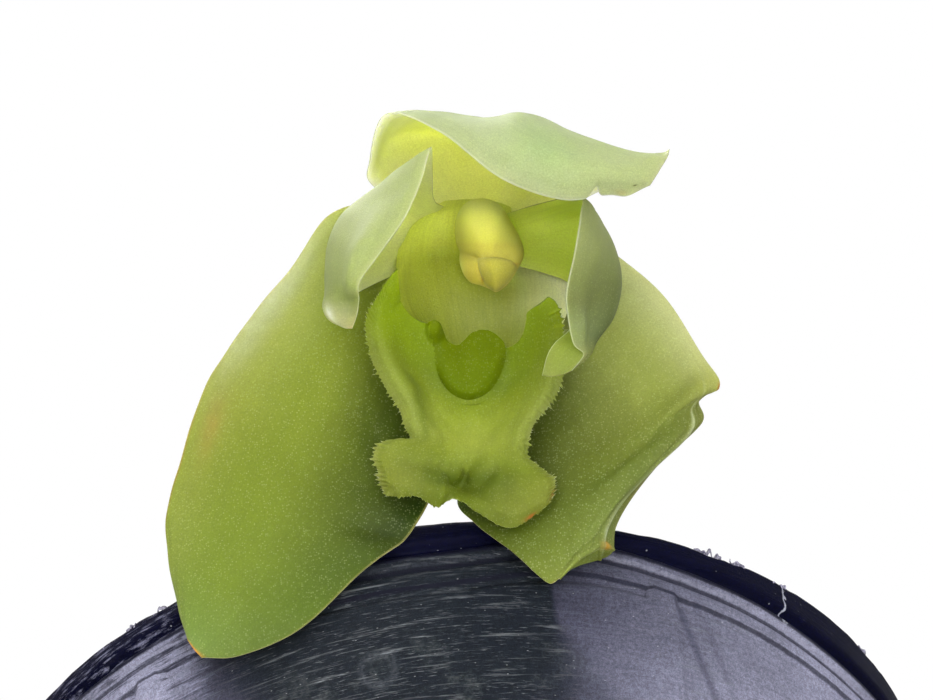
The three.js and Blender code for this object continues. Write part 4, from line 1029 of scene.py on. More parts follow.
def lip_lift(u, v):
    """Folds that run together in the middle lobe, ridges beside them, and fine crumples."""
    folds = 0.0
    for middle, slope, depth in LIP_FOLDS:
        folds = folds + depth * bump_at(u, middle + slope * (v - 0.8), 0.045)
    folds = folds * bump_at(v, 0.81, 0.075)
    ridges = 0.25 * (bump_at(u, 0.45, 0.025) + bump_at(u, 0.56, 0.025)) * bump_at(v, 0.78, 0.06)
    hollow = 0.4 * bump_at(u, 0.5, 0.15) * bump_at(v, 0.9, 0.07)
    crumple = np.sin(31 * u + 5 * v) * np.sin(17 * v) + 0.7 * np.sin(47 * v - 19 * u) * np.sin(23 * u)
    at_sides = np.sin(58 * v + 3 * u) * np.abs(2 * u - 1) ** 6
    at_end = 0.6 * np.sin(70 * u) * smooth_step(v, 0.9, 1)
    crumpled = 0.07 * crumple * smooth_step(v, 0.3, 0.6)
    crimped = 0.09 * (at_sides + at_end) * smooth_step(v, 0.1, 0.25)
    return ridges - folds - hollow + (crumpled + crimped)


def from_outline(flat, outline):
    """How far inside a closed outline each place lies, below 0 outside it."""
    points = np.asarray(outline, float)
    following = np.roll(points, -1, axis=0)
    nearest = np.full(flat.shape[:-1], np.inf)
    inside = np.zeros(flat.shape[:-1], bool)
    for a, b in zip(points, following):
        side = b - a
        along = np.clip(((flat - a) @ side) / (side @ side), 0, 1)
        gap = np.linalg.norm(flat - a - along[..., None] * side, axis=-1)
        nearest = np.minimum(nearest, gap)
        crosses = (a[1] > flat[..., 1]) != (b[1] > flat[..., 1])
        if a[1] != b[1]:
            at = a[0] + (flat[..., 1] - a[1]) / (b[1] - a[1]) * side[0]
            inside ^= crosses & (flat[..., 0] < at)
    return np.where(inside, nearest, -nearest)


def tongue_lift(flat):
    """A smooth tongue that stands up from the lip, most of all at its lower end, and how far inside
    its outline each place lies. Beside it are a horn at the left and a furrow below."""
    across, down = flat[..., 0], flat[..., 1]
    depth = from_outline(flat, spline(TONGUE, np.linspace(0, 1, 90)))
    low = smooth_step(down, 340, 388)
    height = 0.15 + 0.75 * low
    raised = height * smooth_step(depth, -1.5, 8) - 0.25 * low * smooth_step(depth, 8, 28)
    horn = 1.6 * bump_at(across, 434, 5) * bump_at(down, 326, 11)
    furrow = 0.16 * bump_at(depth, -8, 2.5) * bump_at(across, 472, 13) * smooth_step(down, 385, 398)
    return raised + horn - furrow, depth


def shift_margin(grid, amounts, fade, last=False):
    """Moves one side margin outward, by an amount for each row that fades away from the margin."""
    turned = grid[:, ::-1] if last else grid
    out = unit(turned[:, 0] - turned[:, 4])
    weight = np.exp(-((distance_across(turned) / fade) ** 2)) * amounts[:, None]
    moved = turned + out[:, None, :] * weight[..., None]
    return moved[:, ::-1] if last else moved


def teeth(line, pitch, length, draws, start, stop):
    """How far each place of a margin stands out, as a row of uneven pointed teeth."""
    gone = distance_across(line[None])[0]
    share = np.linspace(0, 1, len(line))
    reach = np.zeros(len(line))
    at = 0.0
    while at < gone[-1]:
        width = pitch * draws.uniform(0.55, 1.5)
        height = length * draws.uniform(0.25, 1.25)
        lean = draws.uniform(0.45, 0.8)
        along = (gone - at) / width
        tooth = np.where(along < lean, along / lean, (1 - along) / (1 - lean))
        reach = np.maximum(reach, height * np.clip(tooth, 0, 1) ** TOOTH_POWER)
        at += width
    return reach * smooth_step(share, start, start + 0.05) * (1 - smooth_step(share, stop, stop + 0.02))


def add_hairs(shape, line, inner, count, length, kind, draws):
    """A few fine hairs that stand out from a margin."""
    for _ in range(count):
        k = draws.randrange(1, len(line) - 1)
        out = unit(line[k] - inner[k])
        ahead = line[k + 1] - line[k - 1]
        ahead /= max(np.linalg.norm(ahead), 1e-9)
        side = np.cross(out, ahead)
        lean = ahead * draws.uniform(-0.5, 0.5) + side * draws.uniform(-0.4, 0.4)
        tip = line[k] + (out + lean) * length * draws.uniform(0.5, 1.4)
        root = line[k] - out * 0.2
        half = 0.05 * draws.uniform(0.8, 1.5)
        ring = [root + ahead * half, root + side * half, root - ahead * half, root - side * half]
        middle = [place + (tip - root) * 0.55 - (place - root) * 0.3 for place in ring]
        faces = [[0, 1, 2, 3]]
        for a in range(4):
            b = (a + 1) % 4
            faces.append([a, b, 4 + b, 4 + a])
            faces.append([4 + a, 4 + b, 8])
        uvs = [[0.5, 0.0]] * 4 + [[0.5, 0.55]] * 4 + [[0.5, 1.0]]
        shape.add(in_pot_frame(np.array(ring + middle + [tip])), faces, uvs, kind)


def lip_surface(along, over):
    """The lip's middle surface, whose first rows are drawn to its upper edge."""
    grid = net_surface(LIP, along, over)
    share, across, down = np.array(LIP_TOP, float).T
    upper = [np.interp(over, share, across), np.interp(over, share, down), grid[0, :, 2]]
    wanted = seen_at(np.stack(upper, axis=-1))
    return grid + np.exp(-((along / 0.05) ** 2))[:, None, None] * (wanted - grid[0])[None]


def make_lip(skins):
    draws = random.Random(7)
    rows, columns = 330, 112
    along = toward_both_ends(rows)
    over = 0.5 * toward_both_ends(columns) + 0.5 * np.linspace(0, 1, columns)
    grid = lip_surface(along, over)
    raised, depth = tongue_lift(picture_places(grid))
    lift = lip_lift(*np.meshgrid(over, along))
    grid = grid + normals_toward(grid, MOUTH) * lift[..., None] + np.array([0, 0, 1]) * raised[..., None]
    for last in (False, True):
        line = grid[:, -1] if last else grid[:, 0]
        grid = shift_margin(grid, teeth(line, TOOTH_PITCH, TOOTH_LENGTH, draws, 0.12, 0.99), 0.3, last)
    ragged = teeth(grid[-1], 0.45, 0.25, draws, 0.0, 0.95)
    fade = np.linspace(0, 1, 12)[:, None, None] ** 2
    grid[-12:] += np.array([0, -1, 0.2]) * ragged[None, :, None] * fade
    shape = Shape()
    thickness = blade_thickness(grid, LIP_THICKNESS, 0.14, 1.2)
    add_blade(shape, in_pot_frame(grid), thickness, along, over, in_pot_frame(MOUTH))
    for face in np.flatnonzero(depth[:-1, :-1] > 0.5):
        shape.kinds[face] = 2
    for line, inner in ((grid[60:, 0], grid[60:, 4]), (grid[60:, -1], grid[60:, -5])):
        add_hairs(shape, line, inner, HAIR_COUNT, HAIR_LENGTH, 3, draws)
    names = ("lip_inside", "lip_outside", "callus_skin", "fringe_skin")
    shape.piece("lip_fringed", [skins[name] for name in names], "lip", "lip")


def closed_curve(points, count):
    points = np.asarray(points, float)
    loop = np.concatenate([points[-2:], points, points[:3]])
    first = 2 / (len(loop) - 1)
    last = (2 + len(points)) / (len(loop) - 1)
    return spline(loop, np.linspace(first, last, count, endpoint=False))


def column_front(flat):
    """z of the column's front, a long dome over its outline, at picture places."""
    rim = closed_curve(COLUMN_OUTLINE, 400)
    middle = COLUMN_TIP[:2]
    turn = np.arctan2(rim[:, 1] - middle[1], rim[:, 0] - middle[0])
    reach = np.hypot(rim[:, 1] - middle[1], rim[:, 0] - middle[0])
    at = np.arctan2(flat[..., 1] - middle[1], flat[..., 0] - middle[0])
    away = np.hypot(flat[..., 1] - middle[1], flat[..., 0] - middle[0])
    full = np.interp(at, turn, reach, period=2 * np.pi)
    edge = np.interp(at, turn, rim[:, 2], period=2 * np.pi)
    return domed(edge, COLUMN_TIP[2], np.clip(away / full, 0, 1))


def domed(edge, top, share):
    return edge + (top - edge) * np.sqrt(1 - share**2)


def with_depth(flat, z):
    return np.concatenate([flat, z[..., None]], axis=-1)


def column_uv(grid):
    """Surface coordinates that run from 0 to 1 over the column's part of the picture."""
    return (picture_places(grid) - COLUMN_CORNER) / COLUMN_EXTENT


def seams_pressed(flat):
    """How far the seams round the cap are pressed in."""
    press = np.zeros(flat.shape[:2])
    for line, width, depth in SEAMS:
        path = spline(line, np.linspace(0, 1, 40))
        gap = np.min(np.linalg.norm(flat[:, :, None, :] - path[None, None], axis=-1), axis=-1)
        press += depth * np.exp(-((gap / width) ** 2))
    return press


def column_rings(sides, rings, back_rings):
    """Rings from the column's tip out to its outline, and back to where it grows from."""
    rim = closed_curve(COLUMN_OUTLINE, sides)
    share = np.sin(np.linspace(0.02, 1, rings) * np.pi / 2)
    flat = COLUMN_TIP[:2] + (rim[None, :, :2] - COLUMN_TIP[:2]) * share[:, None, None]
    z = domed(rim[None, :, 2], COLUMN_TIP[2], share[:, None]) - seams_pressed(flat)
    foot = COLUMN_BASE[:2] + unit(rim[:, :2] - COLUMN_BASE[:2]) * COLUMN_BASE_RADIUS
    steps = np.linspace(0, 1, back_rings + 1)[1:, None]
    eased = (1 - (1 - steps) ** 2)[..., None]
    back = rim[None, :, :2] * (1 - eased) + foot[None] * eased
    back_z = rim[None, :, 2] * (1 - steps) + COLUMN_BASE[2] * steps
    return seen_at(np.concatenate([with_depth(flat, z), with_depth(back, back_z)], axis=0))


def make_column(skins):
    sides, rings, back_rings = 120, 60, 25
    grid = column_rings(sides, rings, back_rings)
    column = Shape()
    column.add(in_pot_frame(grid), ring_faces(len(grid), sides), column_uv(grid), 0)
    add_organ(column, COLUMN_FOOT, (100, 100), None, 0.1, 1.0, (1, 1))
    column.piece("column_and_foot", [skins["column_skin"], skins["column_foot_skin"]], "column", "column")


def make_cap(skins):
    rings, sides = 24, 90
    loop = closed_curve(CAP_OUTLINE, sides)
    share = np.sin(np.linspace(0.03, 1, rings) * np.pi / 2)
    flat = CAP_CENTRE + (loop[None] - CAP_CENTRE) * share[:, None, None]
    bulge = 0.6 * np.sqrt(1 - share**2) - 0.12
    front = with_depth(flat, column_front(flat) + bulge[:, None])
    under = column_front(CAP_CENTRE + (loop - CAP_CENTRE) * 0.9) - 1.2
    last = with_depth(CAP_CENTRE + (loop - CAP_CENTRE) * 0.8, under)
    grid = seen_at(np.concatenate([front, last[None]], axis=0))
    cap = Shape()
    cap.add(in_pot_frame(grid), ring_faces(rings + 1, sides), column_uv(grid), 0)
    cap.piece("anther_cap_round", [skins["anther_skin"]], "column", "anther_cap")


def make_ovary(skins):
    rings, sides = 40, 48
    grid, middle = tube_grid(OVARY_LINE, OVARY_SIZES, rings, sides, [1, 0, 0])
    scale = np.repeat((0.96 + 0.04 * np.cos(6 * whole_turn(sides)))[None, :], rings, axis=0)
    ovary = Shape()
    add_tube(ovary, in_pot_frame(scaled_rings(grid, middle, scale)), 0)
    ovary.piece("ovary_ridged", [skins["green_stem"]], "stem", "ovary")


def make_flower(skins):
    organs = [
        ("dorsal_sepal", DORSAL_SEPAL, (150, 100), hood_lift, hood_margin, "hood_inside", "hood_outside"),
        ("petal_left", PETAL_LEFT, (130, 80), left_petal_lift, None, "left_petal_inside",
         "left_petal_outside"),
        ("petal_right", PETAL_RIGHT, (130, 80), right_petal_lift, None, "right_petal_inside",
         "right_petal_outside"),
        ("lateral_sepal_left", LATERAL_SEPAL_LEFT, (170, 100), left_sepal_lift, left_sepal_margin,
         "left_sepal_inside", "sepal_outside"),
        ("lateral_sepal_right", LATERAL_SEPAL_RIGHT, (220, 110), right_sepal_lift, None,
         "right_sepal_inside", "sepal_outside"),
    ]
    for node, net, counts, lift, margin, inside, outside in organs:
        shape = Shape()
        add_organ(shape, net, counts, lift, margin=margin)
        slot = "sepal" if node.startswith("lateral") else "petal"
        shape.piece(node + "_blade", [skins[inside], skins[outside]], slot, node)
    make_lip(skins)
    make_column(skins)
    make_cap(skins)
    make_ovary(skins)


# Stem

SCAPE_PATH = [
    [13, -6.5, BULB_FOOT], [15, -11, 92], [15.5, -17, 107], [15, -27, 121], [14, -38, 129.5],
    [13.4, -47, 130.5], [12.9, -55.6, 125.6],
]
SCAPE_SIZES = [2.2, 1.9, 1.6, 1.5, 1.5, 1.6, 1.8]
FLORAL_BRACT = [
    [[11.8, -45.5, 130.4], [13.5, -45.5, 131.7], [15.2, -45.5, 130.4]],
    [[10.3, -53, 130.4], [13.2, -52.5, 132.2], [15.8, -53, 130.4]],
    [[10.4, -59.5, 126.2], [12.9, -59.2, 127.9], [15.3, -59.5, 126.2]],
    [[12.2, -64.5, 120.5], [12.8, -64.6, 121], [13.4, -64.5, 120.5]],
]
BRACT_STARTS = (0.06, 0.26, 0.48)
BRACT_LENGTH = 0.11
BRACT_SIZES = [[1.95, 1.95], [2.5, 2.4], [2.15, 2.15]]


def make_scape(skins):
    shape = Shape()
    sizes = [[size, size] for size in SCAPE_SIZES]
    grid, middle = tube_grid(SCAPE_PATH, sizes, 120, 28, [1, 0, 0])
    add_tube(shape, grid, 0)
    rings, sides = 26, 36
    flare = smooth_step(np.linspace(0, 1, rings), 0.6, 1.0)[:, None]
    for first in BRACT_STARTS:
        sheath, middle = tube_grid(SCAPE_PATH, BRACT_SIZES, rings, sides, [1, 0, 0], first,
                                   first + BRACT_LENGTH)
        scale = 1 + 0.05 * flare * np.cos(whole_turn(sides))[None, :]
        add_tube(shape, scaled_rings(sheath, middle, scale), 1)
    along = toward_the_end(60)
    over = toward_both_ends(40)
    bract = net_surface(FLORAL_BRACT, along, over)
    depth = blade_thickness(bract, 0.5, 0.2, 0.8)
    add_blade(shape, bract, depth, along, over, np.array([13, -55, 120]), (1, 1))
    shape.piece("scape_with_bracts", [skins["green_stem"], skins["stem_sheath"]], "stem", "scape")


# Growths on the bark

def bulb_skin():
    s = Surface("pseudobulb_skin")
    u, v = s.surface_coordinates()
    place = s.object_coordinates()
    level = v + s.noise(place, 90, 3.0).spread(-0.12, 0.12)
    stops = [(0.0, 118, 104, 58), (0.2, 112, 128, 62), (0.65, 122, 146, 72), (1.0, 138, 138, 76)]
    color = s.tints(level, stops)
    lines = s.noise(s.vector(u * 70.0, v * 3.0), 1.0, 4.0, 0.6)
    color = s.shade(color, lines.spread(0.72, 1.25))
    freckles = s.noise(place, 700, 4.0, 0.65).rising(0.62, 0.72)
    color = s.paint(color, freckles * 0.5, (92, 70, 40))
    height = lines * 1.5 + s.noise(place, 1200, 3.0) * 0.3
    s.set(Base_Color=color, Roughness=lines.spread(0.38, 0.6), Specular_IOR_Level=0.4)
    s.glow(0.15, (0.9, 1.0, 0.35), 0.003)
    s.set(Normal=s.relief(height, 0.0002, 0.6))
    return s.material


def dry_sheath():
    s = Surface("dry_sheath")
    u, v = s.surface_coordinates()
    lines = s.noise(s.vector(u * 90.0, v * 2.0), 1.0, 4.0, 0.6)
    color = s.tints(lines, [(0.25, 120, 92, 58), (0.5, 176, 146, 100), (0.8, 208, 186, 140)])
    color = s.shade(color, s.noise(s.object_coordinates(), 160, 3.0).spread(0.75, 1.2))
    s.set(Base_Color=color, Roughness=0.7, Specular_IOR_Level=0.25, Normal=s.relief(lines, 0.0002, 0.8))
    return s.material


def leaf_skin(name, low, high):
    """Leaf skin between two colours, with parallel veins, a paler base and a dry tip."""
    s = Surface(name)
    u, v = s.surface_coordinates()
    color = s.mix(s.noise(s.object_coordinates(), 60, 4.0, 0.6), linear(*low), linear(*high))
    wave = abs(s.math("FRACT", u * 48.0) - 0.5)
    vein = wave.falling(0.0, 0.16)
    cross = s.noise(s.vector(u * 60.0, v * 160.0), 1.0, 2.0)
    color = s.paint(color, vein * 0.35, (150, 176, 116))
    color = s.shade(color, cross.spread(0.9, 1.1))
    color = s.paint(color, v.falling(0.02, 0.22) * 0.6, (160, 172, 108))
    color = s.paint(color, v.rising(0.965, 1.0) * 0.8, (140, 104, 56))
    s.set(Base_Color=color, Roughness=cross.spread(0.4, 0.55), Specular_IOR_Level=0.4)
    s.glow(0.25, (0.7, 1.0, 0.3), 0.0015)
    s.set(Normal=s.relief(vein * 0.8 + cross * 0.4, 0.00012, 0.7))
    return s.material


def rhizome_skin():
    s = Surface("rhizome_bark")
    u, v = s.surface_coordinates()
    rings = s.noise(s.vector(u * 4.0, v * 60.0), 1.0, 3.0)
    color = s.tints(rings, [(0.2, 70, 58, 34), (0.6, 116, 104, 62), (1.0, 148, 136, 88)])
    color = s.shade(color, s.noise(s.object_coordinates(), 500, 4.0).spread(0.75, 1.2))
    s.set(Base_Color=color, Roughness=0.75, Specular_IOR_Level=0.25, Normal=s.relief(rings, 0.0004, 0.8))
    return s.material


def bark_skin(name, dark, chips):
    """Bark. Each chip has a stretch of whole numbers of its own in u and v, and so its own tone."""
    s = Surface(name)
    u, v = s.surface_coordinates()
    place = s.object_coordinates()
    if chips:
        grain = s.noise(s.vector(u * 6.0, v * 40.0, u), 1.0, 5.0, 0.65)
    else:
        grain = s.noise(place, 180, 6.0, 0.7)
    each = s.noise(s.vector(s.math("FLOOR", u), s.math("FLOOR", v)), 7.31, 0.0)
    tone = s.math("MULTIPLY_ADD", grain, 0.75, each.spread(-0.25, 0.4))
    color = s.tints(tone, [(0.1, 38, 25, 17), (0.4, 84, 56, 36), (0.65, 126, 88, 56), (0.95, 164, 128, 90)])
    color = s.shade(color, s.noise(place, 1100, 4.0).spread(0.7 * dark, 1.2 * dark))
    s.set(Base_Color=color, Roughness=0.88, Specular_IOR_Level=0.2, Normal=s.relief(grain, 0.0005, 0.9))
    return s.material


def growth_materials():
    return {
        "bulb": bulb_skin(),
        "sheath": dry_sheath(),
        "leaf_above": leaf_skin("leaf_above", (66, 100, 56), (98, 134, 80)),
        "leaf_below": leaf_skin("leaf_below", (104, 134, 92), (134, 162, 116)),
        "rhizome": rhizome_skin(),
        "bark_bed": bark_skin("bark_bed", 0.45, False),
        "bark_chips": bark_skin("bark_chips", 1.0, True),
    }


BULBS = [
    {"place": (9, 3), "turn": 0.3, "lean": -0.1},
    {"place": (-18, 10), "turn": 1.0, "lean": 0.12},
    {"place": (20, 25), "turn": -0.5, "lean": -0.16},
]
BULB_PROFILE = [[0.8, 0], [3.2, 0], [8.4, 3.6], [12.2, 10], [13.5, 18], [12.2, 26], [8.8, 33.5],
                [4.4, 39.4], [2.2, BULB_HEIGHT], [0.5, BULB_HEIGHT]]
# Each sheath's first turn and width round the bulb, and its top as a share of the profile
SHEATHS = ((0.2, 2.6, 0.46), (2.9, 2.2, 0.36), (4.4, 1.9, 0.3))
SHEATH_FOOT = 0.1
RHIZOME_ROUTES = [
    [[17, -7], [9, 2], [-4, 9], [-18, 10], [-26, 18]],
    [[2, 6], [10, 15], [20, 25], [27, 30]],
]


def turned_and_leant(places, turn, lean):
    """Places leant about the x axis and then turned about the z axis."""
    x, y, z = np.moveaxis(np.asarray(places, float), -1, 0)
    y, z = y * math.cos(lean) - z * math.sin(lean), y * math.sin(lean) + z * math.cos(lean)
    x, y = x * math.cos(turn) - y * math.sin(turn), x * math.sin(turn) + y * math.cos(turn)
    return np.stack([x, y, z], axis=-1)


def bulb_place(bulb, places):
    moved = turned_and_leant(places, bulb["turn"], bulb["lean"])
    return moved + np.array([bulb["place"][0], bulb["place"][1], BULB_FOOT])


def bulb_surface(levels, turn, out, phase):
    """Places on a bulb at shares of its profile and turns round it, moved out from its skin."""
    levels, turn = np.broadcast_arrays(levels, turn)
    profile = spline(BULB_PROFILE, levels.ravel()).reshape(*levels.shape, 2)
    radius = np.maximum(profile[..., 0], 0.2) / (BULB_WIDTH / 2)
    furrow = 1 + 0.035 * np.cos(5 * turn) + 0.012 * np.cos(13 * turn + phase) + 0.008 * np.cos(29 * turn)
    x = radius * furrow * (BULB_WIDTH / 2) * np.cos(turn) + out * np.cos(turn)
    y = radius * furrow * (BULB_DEPTH / 2) * np.sin(turn) + out * np.sin(turn)
    return np.stack([x, y, profile[..., 1]], axis=-1)


def add_sheath(shape, bulb, number, draws, first, width, top):
    """A thin dry sheath round the foot of a bulb, with a ragged flared upper edge."""
    over = np.linspace(0, 1, 46)
    along = np.linspace(0, 1, 26)
    ragged = np.array([draws.uniform(0.8, 1.0) for _ in range(12)])
    tops = top * spline(ragged, over) * (1 - 0.5 * np.abs(2 * over - 1) ** 3)
    angle = first + width * over[None, :] + number
    levels = SHEATH_FOOT + (tops[None, :] - SHEATH_FOOT) * along[:, None]
    sheet = bulb_surface(levels, angle, 0.55, number)
    sheet[..., 2] += 0.3
    flare = 0.8 * along[:, None] ** 3 * np.abs(np.sin(3 * angle))
    sheet = sheet + unit(sheet * np.array([1, 1, 0])) * flare[..., None]
    placed = bulb_place(bulb, sheet)
    inside = bulb_place(bulb, np.array([0, 0, 18]))
    add_blade(shape, placed, np.full(placed.shape[:2], 0.25), along, over, inside, (1, 1))


def make_bulbs(skins):
    for number, bulb in enumerate(BULBS, 1):
        shape = Shape()
        grid = bulb_surface(np.linspace(0, 1, 90)[:, None], whole_turn(112)[None, :], 0.0, number)
        add_tube(shape, bulb_place(bulb, grid), 0)
        draws = random.Random(20 + number)
        for first, width, top in SHEATHS:
            add_sheath(shape, bulb, number, draws, first, width, top)
        shape.piece(f"pseudobulb_{number}_furrowed", [skins["bulb"], skins["sheath"]],
                    "pseudobulb", f"pseudobulb_{number}")


def make_rhizome(skins):
    height = BULB_FOOT - 0.6 - RHIZOME_RADIUS
    rings, sides = 110, 28
    shape = Shape()
    for route in RHIZOME_ROUTES:
        path = [[x, y, height] for x, y in route]
        sizes = [[RHIZOME_RADIUS, RHIZOME_RADIUS]] * len(route)
        grid, middle = tube_grid(path, sizes, rings, sides, [0, 0, 1])
        share = np.linspace(0, 1, rings)[:, None]
        twist = 0.01 * np.sin(5 * whole_turn(sides)[None, :] + 20 * share)
        scale = 0.96 + 0.035 * np.sin(90 * share) + twist
        add_tube(shape, scaled_rings(grid, middle, scale), 0)
    shape.piece("rhizome_ringed", [skins["rhizome"]], "rhizome", "rhizome")


# For each leaf, the number of its bulb from 0, its start beside the bulb's tip, and its route
LEAVES = [
    (0, (-1.9, 1.2), [[2, 10, 23], [4, 32, 43], [3, 66, 52], [-1, 100, 40], [-4, 118, 22]]),
    (0, (2, -1.2), [[6, 7, 18], [14, 25, 33], [22, 52, 42], [29, 80, 36], [32, 97, 22]]),
    (1, (-1.7, -1.2), [[-5, 8, 17], [-13, 26, 31], [-23, 52, 38], [-31, 80, 31], [-34, 96, 18]]),
    (1, (1.7, 1.2), [[-1, 10, 22], [-5, 31, 44], [-10, 60, 58], [-15, 92, 52], [-18, 112, 36]]),
]
LEAF_SHARE = [0.1, 0.13, 0.2, 0.55, 0.88, 1, 0.96, 0.78, 0.46, 0.03]
LEAF_PLEATS = 6
CHIP_COUNT = 330
CHIP_REACH = 43.5
CHIP_CORNERS = 22


def leaf_surface(path, along, over, number):
    """A pleated leaf that is folded a little along its keel, with rippled margins."""
    tangent = tangents(path, along)
    side = unit(np.stack([-tangent[:, 1], tangent[:, 0], np.zeros(len(along))], axis=1))
    above = np.cross(tangent, side)
    half = np.maximum(0.35, spline(np.array(LEAF_SHARE)[:, None], along)[:, 0] * LEAF_WIDTH / 2)
    pleat = LEAF_PLEAT * np.minimum(1, half / PLEATED_HALF_WIDTH)
    share = 2 * over - 1
    fold = -np.cos(np.pi * LEAF_PLEATS * over)[None, :] * pleat[:, None]
    ripple = 0.35 * np.sin(21 * along + number)[:, None] * (np.abs(share) ** 4)[None, :]
    lift = fold + LEAF_KEEL * np.abs(share)[None, :] * half[:, None] + ripple
    grid = spline(path, along)[:, None, :] + side[:, None, :] * (share[None, :] * half[:, None])[..., None]
    return grid - above[:, None, :] * lift[..., None]


def make_leaves(skins):
    along = toward_the_end(130)
    over = np.linspace(0, 1, 73)
    for number, (bulb, start, route) in enumerate(LEAVES, 1):
        foot = bulb_place(BULBS[bulb], np.array([0, 0, BULB_HEIGHT])) + np.array([*start, 0.9])
        path = np.concatenate([[foot], np.array(route, float) + foot])
        grid = leaf_surface(path, along, over, number)
        shape = Shape()
        over_top = spline(path, along).mean(axis=0) + np.array([0, 0, 200.0])
        add_blade(shape, grid, blade_thickness(grid, 0.6, 0.2, 0.8), along, over, over_top)
        materials = [skins["leaf_above"], skins["leaf_below"]]
        shape.piece(f"leaf_{number}_pleated", materials, "leaf", f"leaf_{number}")


def bark_height(x, y):
    broad = np.sin(0.31 * x + 1.3) * np.cos(0.27 * y)
    fine = np.sin(0.57 * (x - y))
    return BARK_TOP + 1.3 * (0.6 * broad + 0.4 * fine)


def near_a_growth(x, y):
    near_bulb = any(math.hypot(x - bulb["place"][0], y - bulb["place"][1]) < 11 for bulb in BULBS)
    return near_bulb or math.hypot(x - SCAPE_PATH[0][0], y - SCAPE_PATH[0][1]) < 5


def chip_corners(draws, long, wide, thick):
    """Corners scattered over a block with rounded ends."""
    corners = []
    for _ in range(CHIP_CORNERS):
        a = draws.uniform(0, 2 * math.pi)
        h = draws.uniform(-1, 1)
        r = (1 - abs(h) ** 5) * draws.uniform(0.82, 1.0)
        square = 1 / max(abs(math.cos(a)), abs(math.sin(a))) ** 0.6
        corners.append((r * square * math.cos(a) * long, r * square * math.sin(a) * wide, h * thick))
    return np.array(corners)


def add_hull(gathered, places):
    """The faces of the smallest solid without hollows round some places."""
    verts = [gathered.verts.new(tuple(place * MM)) for place in places]
    hull = bmesh.ops.convex_hull(gathered, input=verts, use_existing_faces=False)
    inside = hull["geom_interior"] + hull["geom_unused"]
    unused = {item for item in inside if isinstance(item, bmesh.types.BMVert)}
    bmesh.ops.delete(gathered, geom=list(unused), context="VERTS")
    return [item for item in hull["geom"] if isinstance(item, bmesh.types.BMFace) and item.is_valid]


def make_bark_chips(skins):
    """Loose chips bedded in the top of the bark, each an uneven flattened lump."""
    draws = random.Random(3)
    gathered = bmesh.new()
    layer = gathered.loops.layers.uv.new("UVMap")
    made = 0
    while made < CHIP_COUNT:
        reach = CHIP_REACH * math.sqrt(draws.random())
        turn = draws.uniform(0, 2 * math.pi)
        x, y = reach * math.cos(turn), reach * math.sin(turn)
        long = draws.uniform(2.2, 5.6) * (0.75 if reach > 37 else 1)
        if near_a_growth(x, y):
            continue
        wide = long * draws.uniform(0.45, 0.8)
        thick = draws.uniform(0.8, 1.7)
        spin = draws.uniform(0, math.pi)
        tilt = draws.uniform(-0.35, 0.35)
        chip = turned_and_leant(chip_corners(draws, long, wide, thick), spin, tilt)
        faces = add_hull(gathered, chip + np.array([x, y, bark_height(x, y) + 0.35 * thick]))
        u0, v0 = draws.randint(0, 30), draws.randint(0, 30)
        for loop in [loop for face in faces for loop in face.loops]:
            ahead = np.array(loop.vert.co) / MM - np.array([x, y, BARK_TOP])
            along = ahead[0] * math.cos(spin) + ahead[1] * math.sin(spin)
            over = ahead[1] * math.cos(spin) - ahead[0] * math.sin(spin)
            loop[layer].uv = (u0 + 0.5 + 0.06 * along, v0 + 0.5 + 0.06 * (over + 0.6 * ahead[2]))
        made += 1
    mesh = bpy.data.meshes.new("bark_chips")
    gathered.to_mesh(mesh)
    gathered.free()
    mesh.materials.append(skins["bark_chips"])
    chips = add_object("bark_chips", mesh)
    bevel = chips.modifiers.new("worn_edges", "BEVEL")
    bevel.width = 0.25 * MM
    bevel.segments = 1
    bevel.limit_method = "ANGLE"
    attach(chips, "root")


# Pot

BAND_DIP = 2.1
BAND_RISE = 1.4
BAND_EDGE = (87.9, 88.6)
DIP_STARTS = (33, 60)
DIP_ENDS = (80, 120)
RISE_STARTS = (4, 20)
RISE_ENDS = (20, 38)
# Where the flower's painted shadow and reflection end at the right, in degrees from the front
FLOWER_SHADE_TO = 16.9
# The height and half width of each line under the band, and whether it is dust and painted sheen on a ledge
# or painted shade in a groove
LEDGE_LINES = (
    (88.75, 0.2, True), (88.3, 0.25, False), (87.75, 0.2, True), (87.35, 0.25, False), (85.1, 0.26, False),
)
# The painted shade along a rib's edge lies at a turn in degrees of the slope times the height in
# millimetres, plus the start
RIB_SHADE_SLOPE = -0.38
RIB_SHADE_START = 63.8
STAIN_PLACE = (-3.0, 76.6)
CRACK_TURN = 46.6
# How often each wave goes round the rim, where it starts, and how far it cuts down
RIM_WAVES = ((9, 0.4, 0.10), (23, 1.9, 0.07), (61, 0.7, 0.05), (97, 2.2, 0.03))
# Degrees from the front, width in degrees and depth
RIM_NICKS = (
    (36.5, 1.6, 0.5), (40.0, 0.7, 0.45), (47.5, 0.8, 0.5), (62.5, 2.6, 0.5), (-27.0, 2.0, 0.35),
    (-33.0, 2.4, 0.4), (66.0, 0.8, 0.35),
)
# Degrees from the front, length and height
SLIVERS = (
    (35.2, 1.6, 0.5), (36.6, 1.2, 0.9), (37.6, 0.9, 0.6), (39.6, 1.1, 0.8), (40.6, 1.4, 0.9),
    (41.4, 0.9, 0.5), (46.2, 1.6, 0.4), (47.4, 1.2, 0.6), (62.0, 1.8, 0.4), (-27.0, 1.6, 0.5),
    (-31.0, 1.3, 0.6), (-34.5, 1.5, 0.5),
)
SLIVER_SIZES = [[0.06, 0.05], [0.3, 0.05], [0.36, 0.04], [0.24, 0.05], [0.32, 0.04], [0.05, 0.04]]


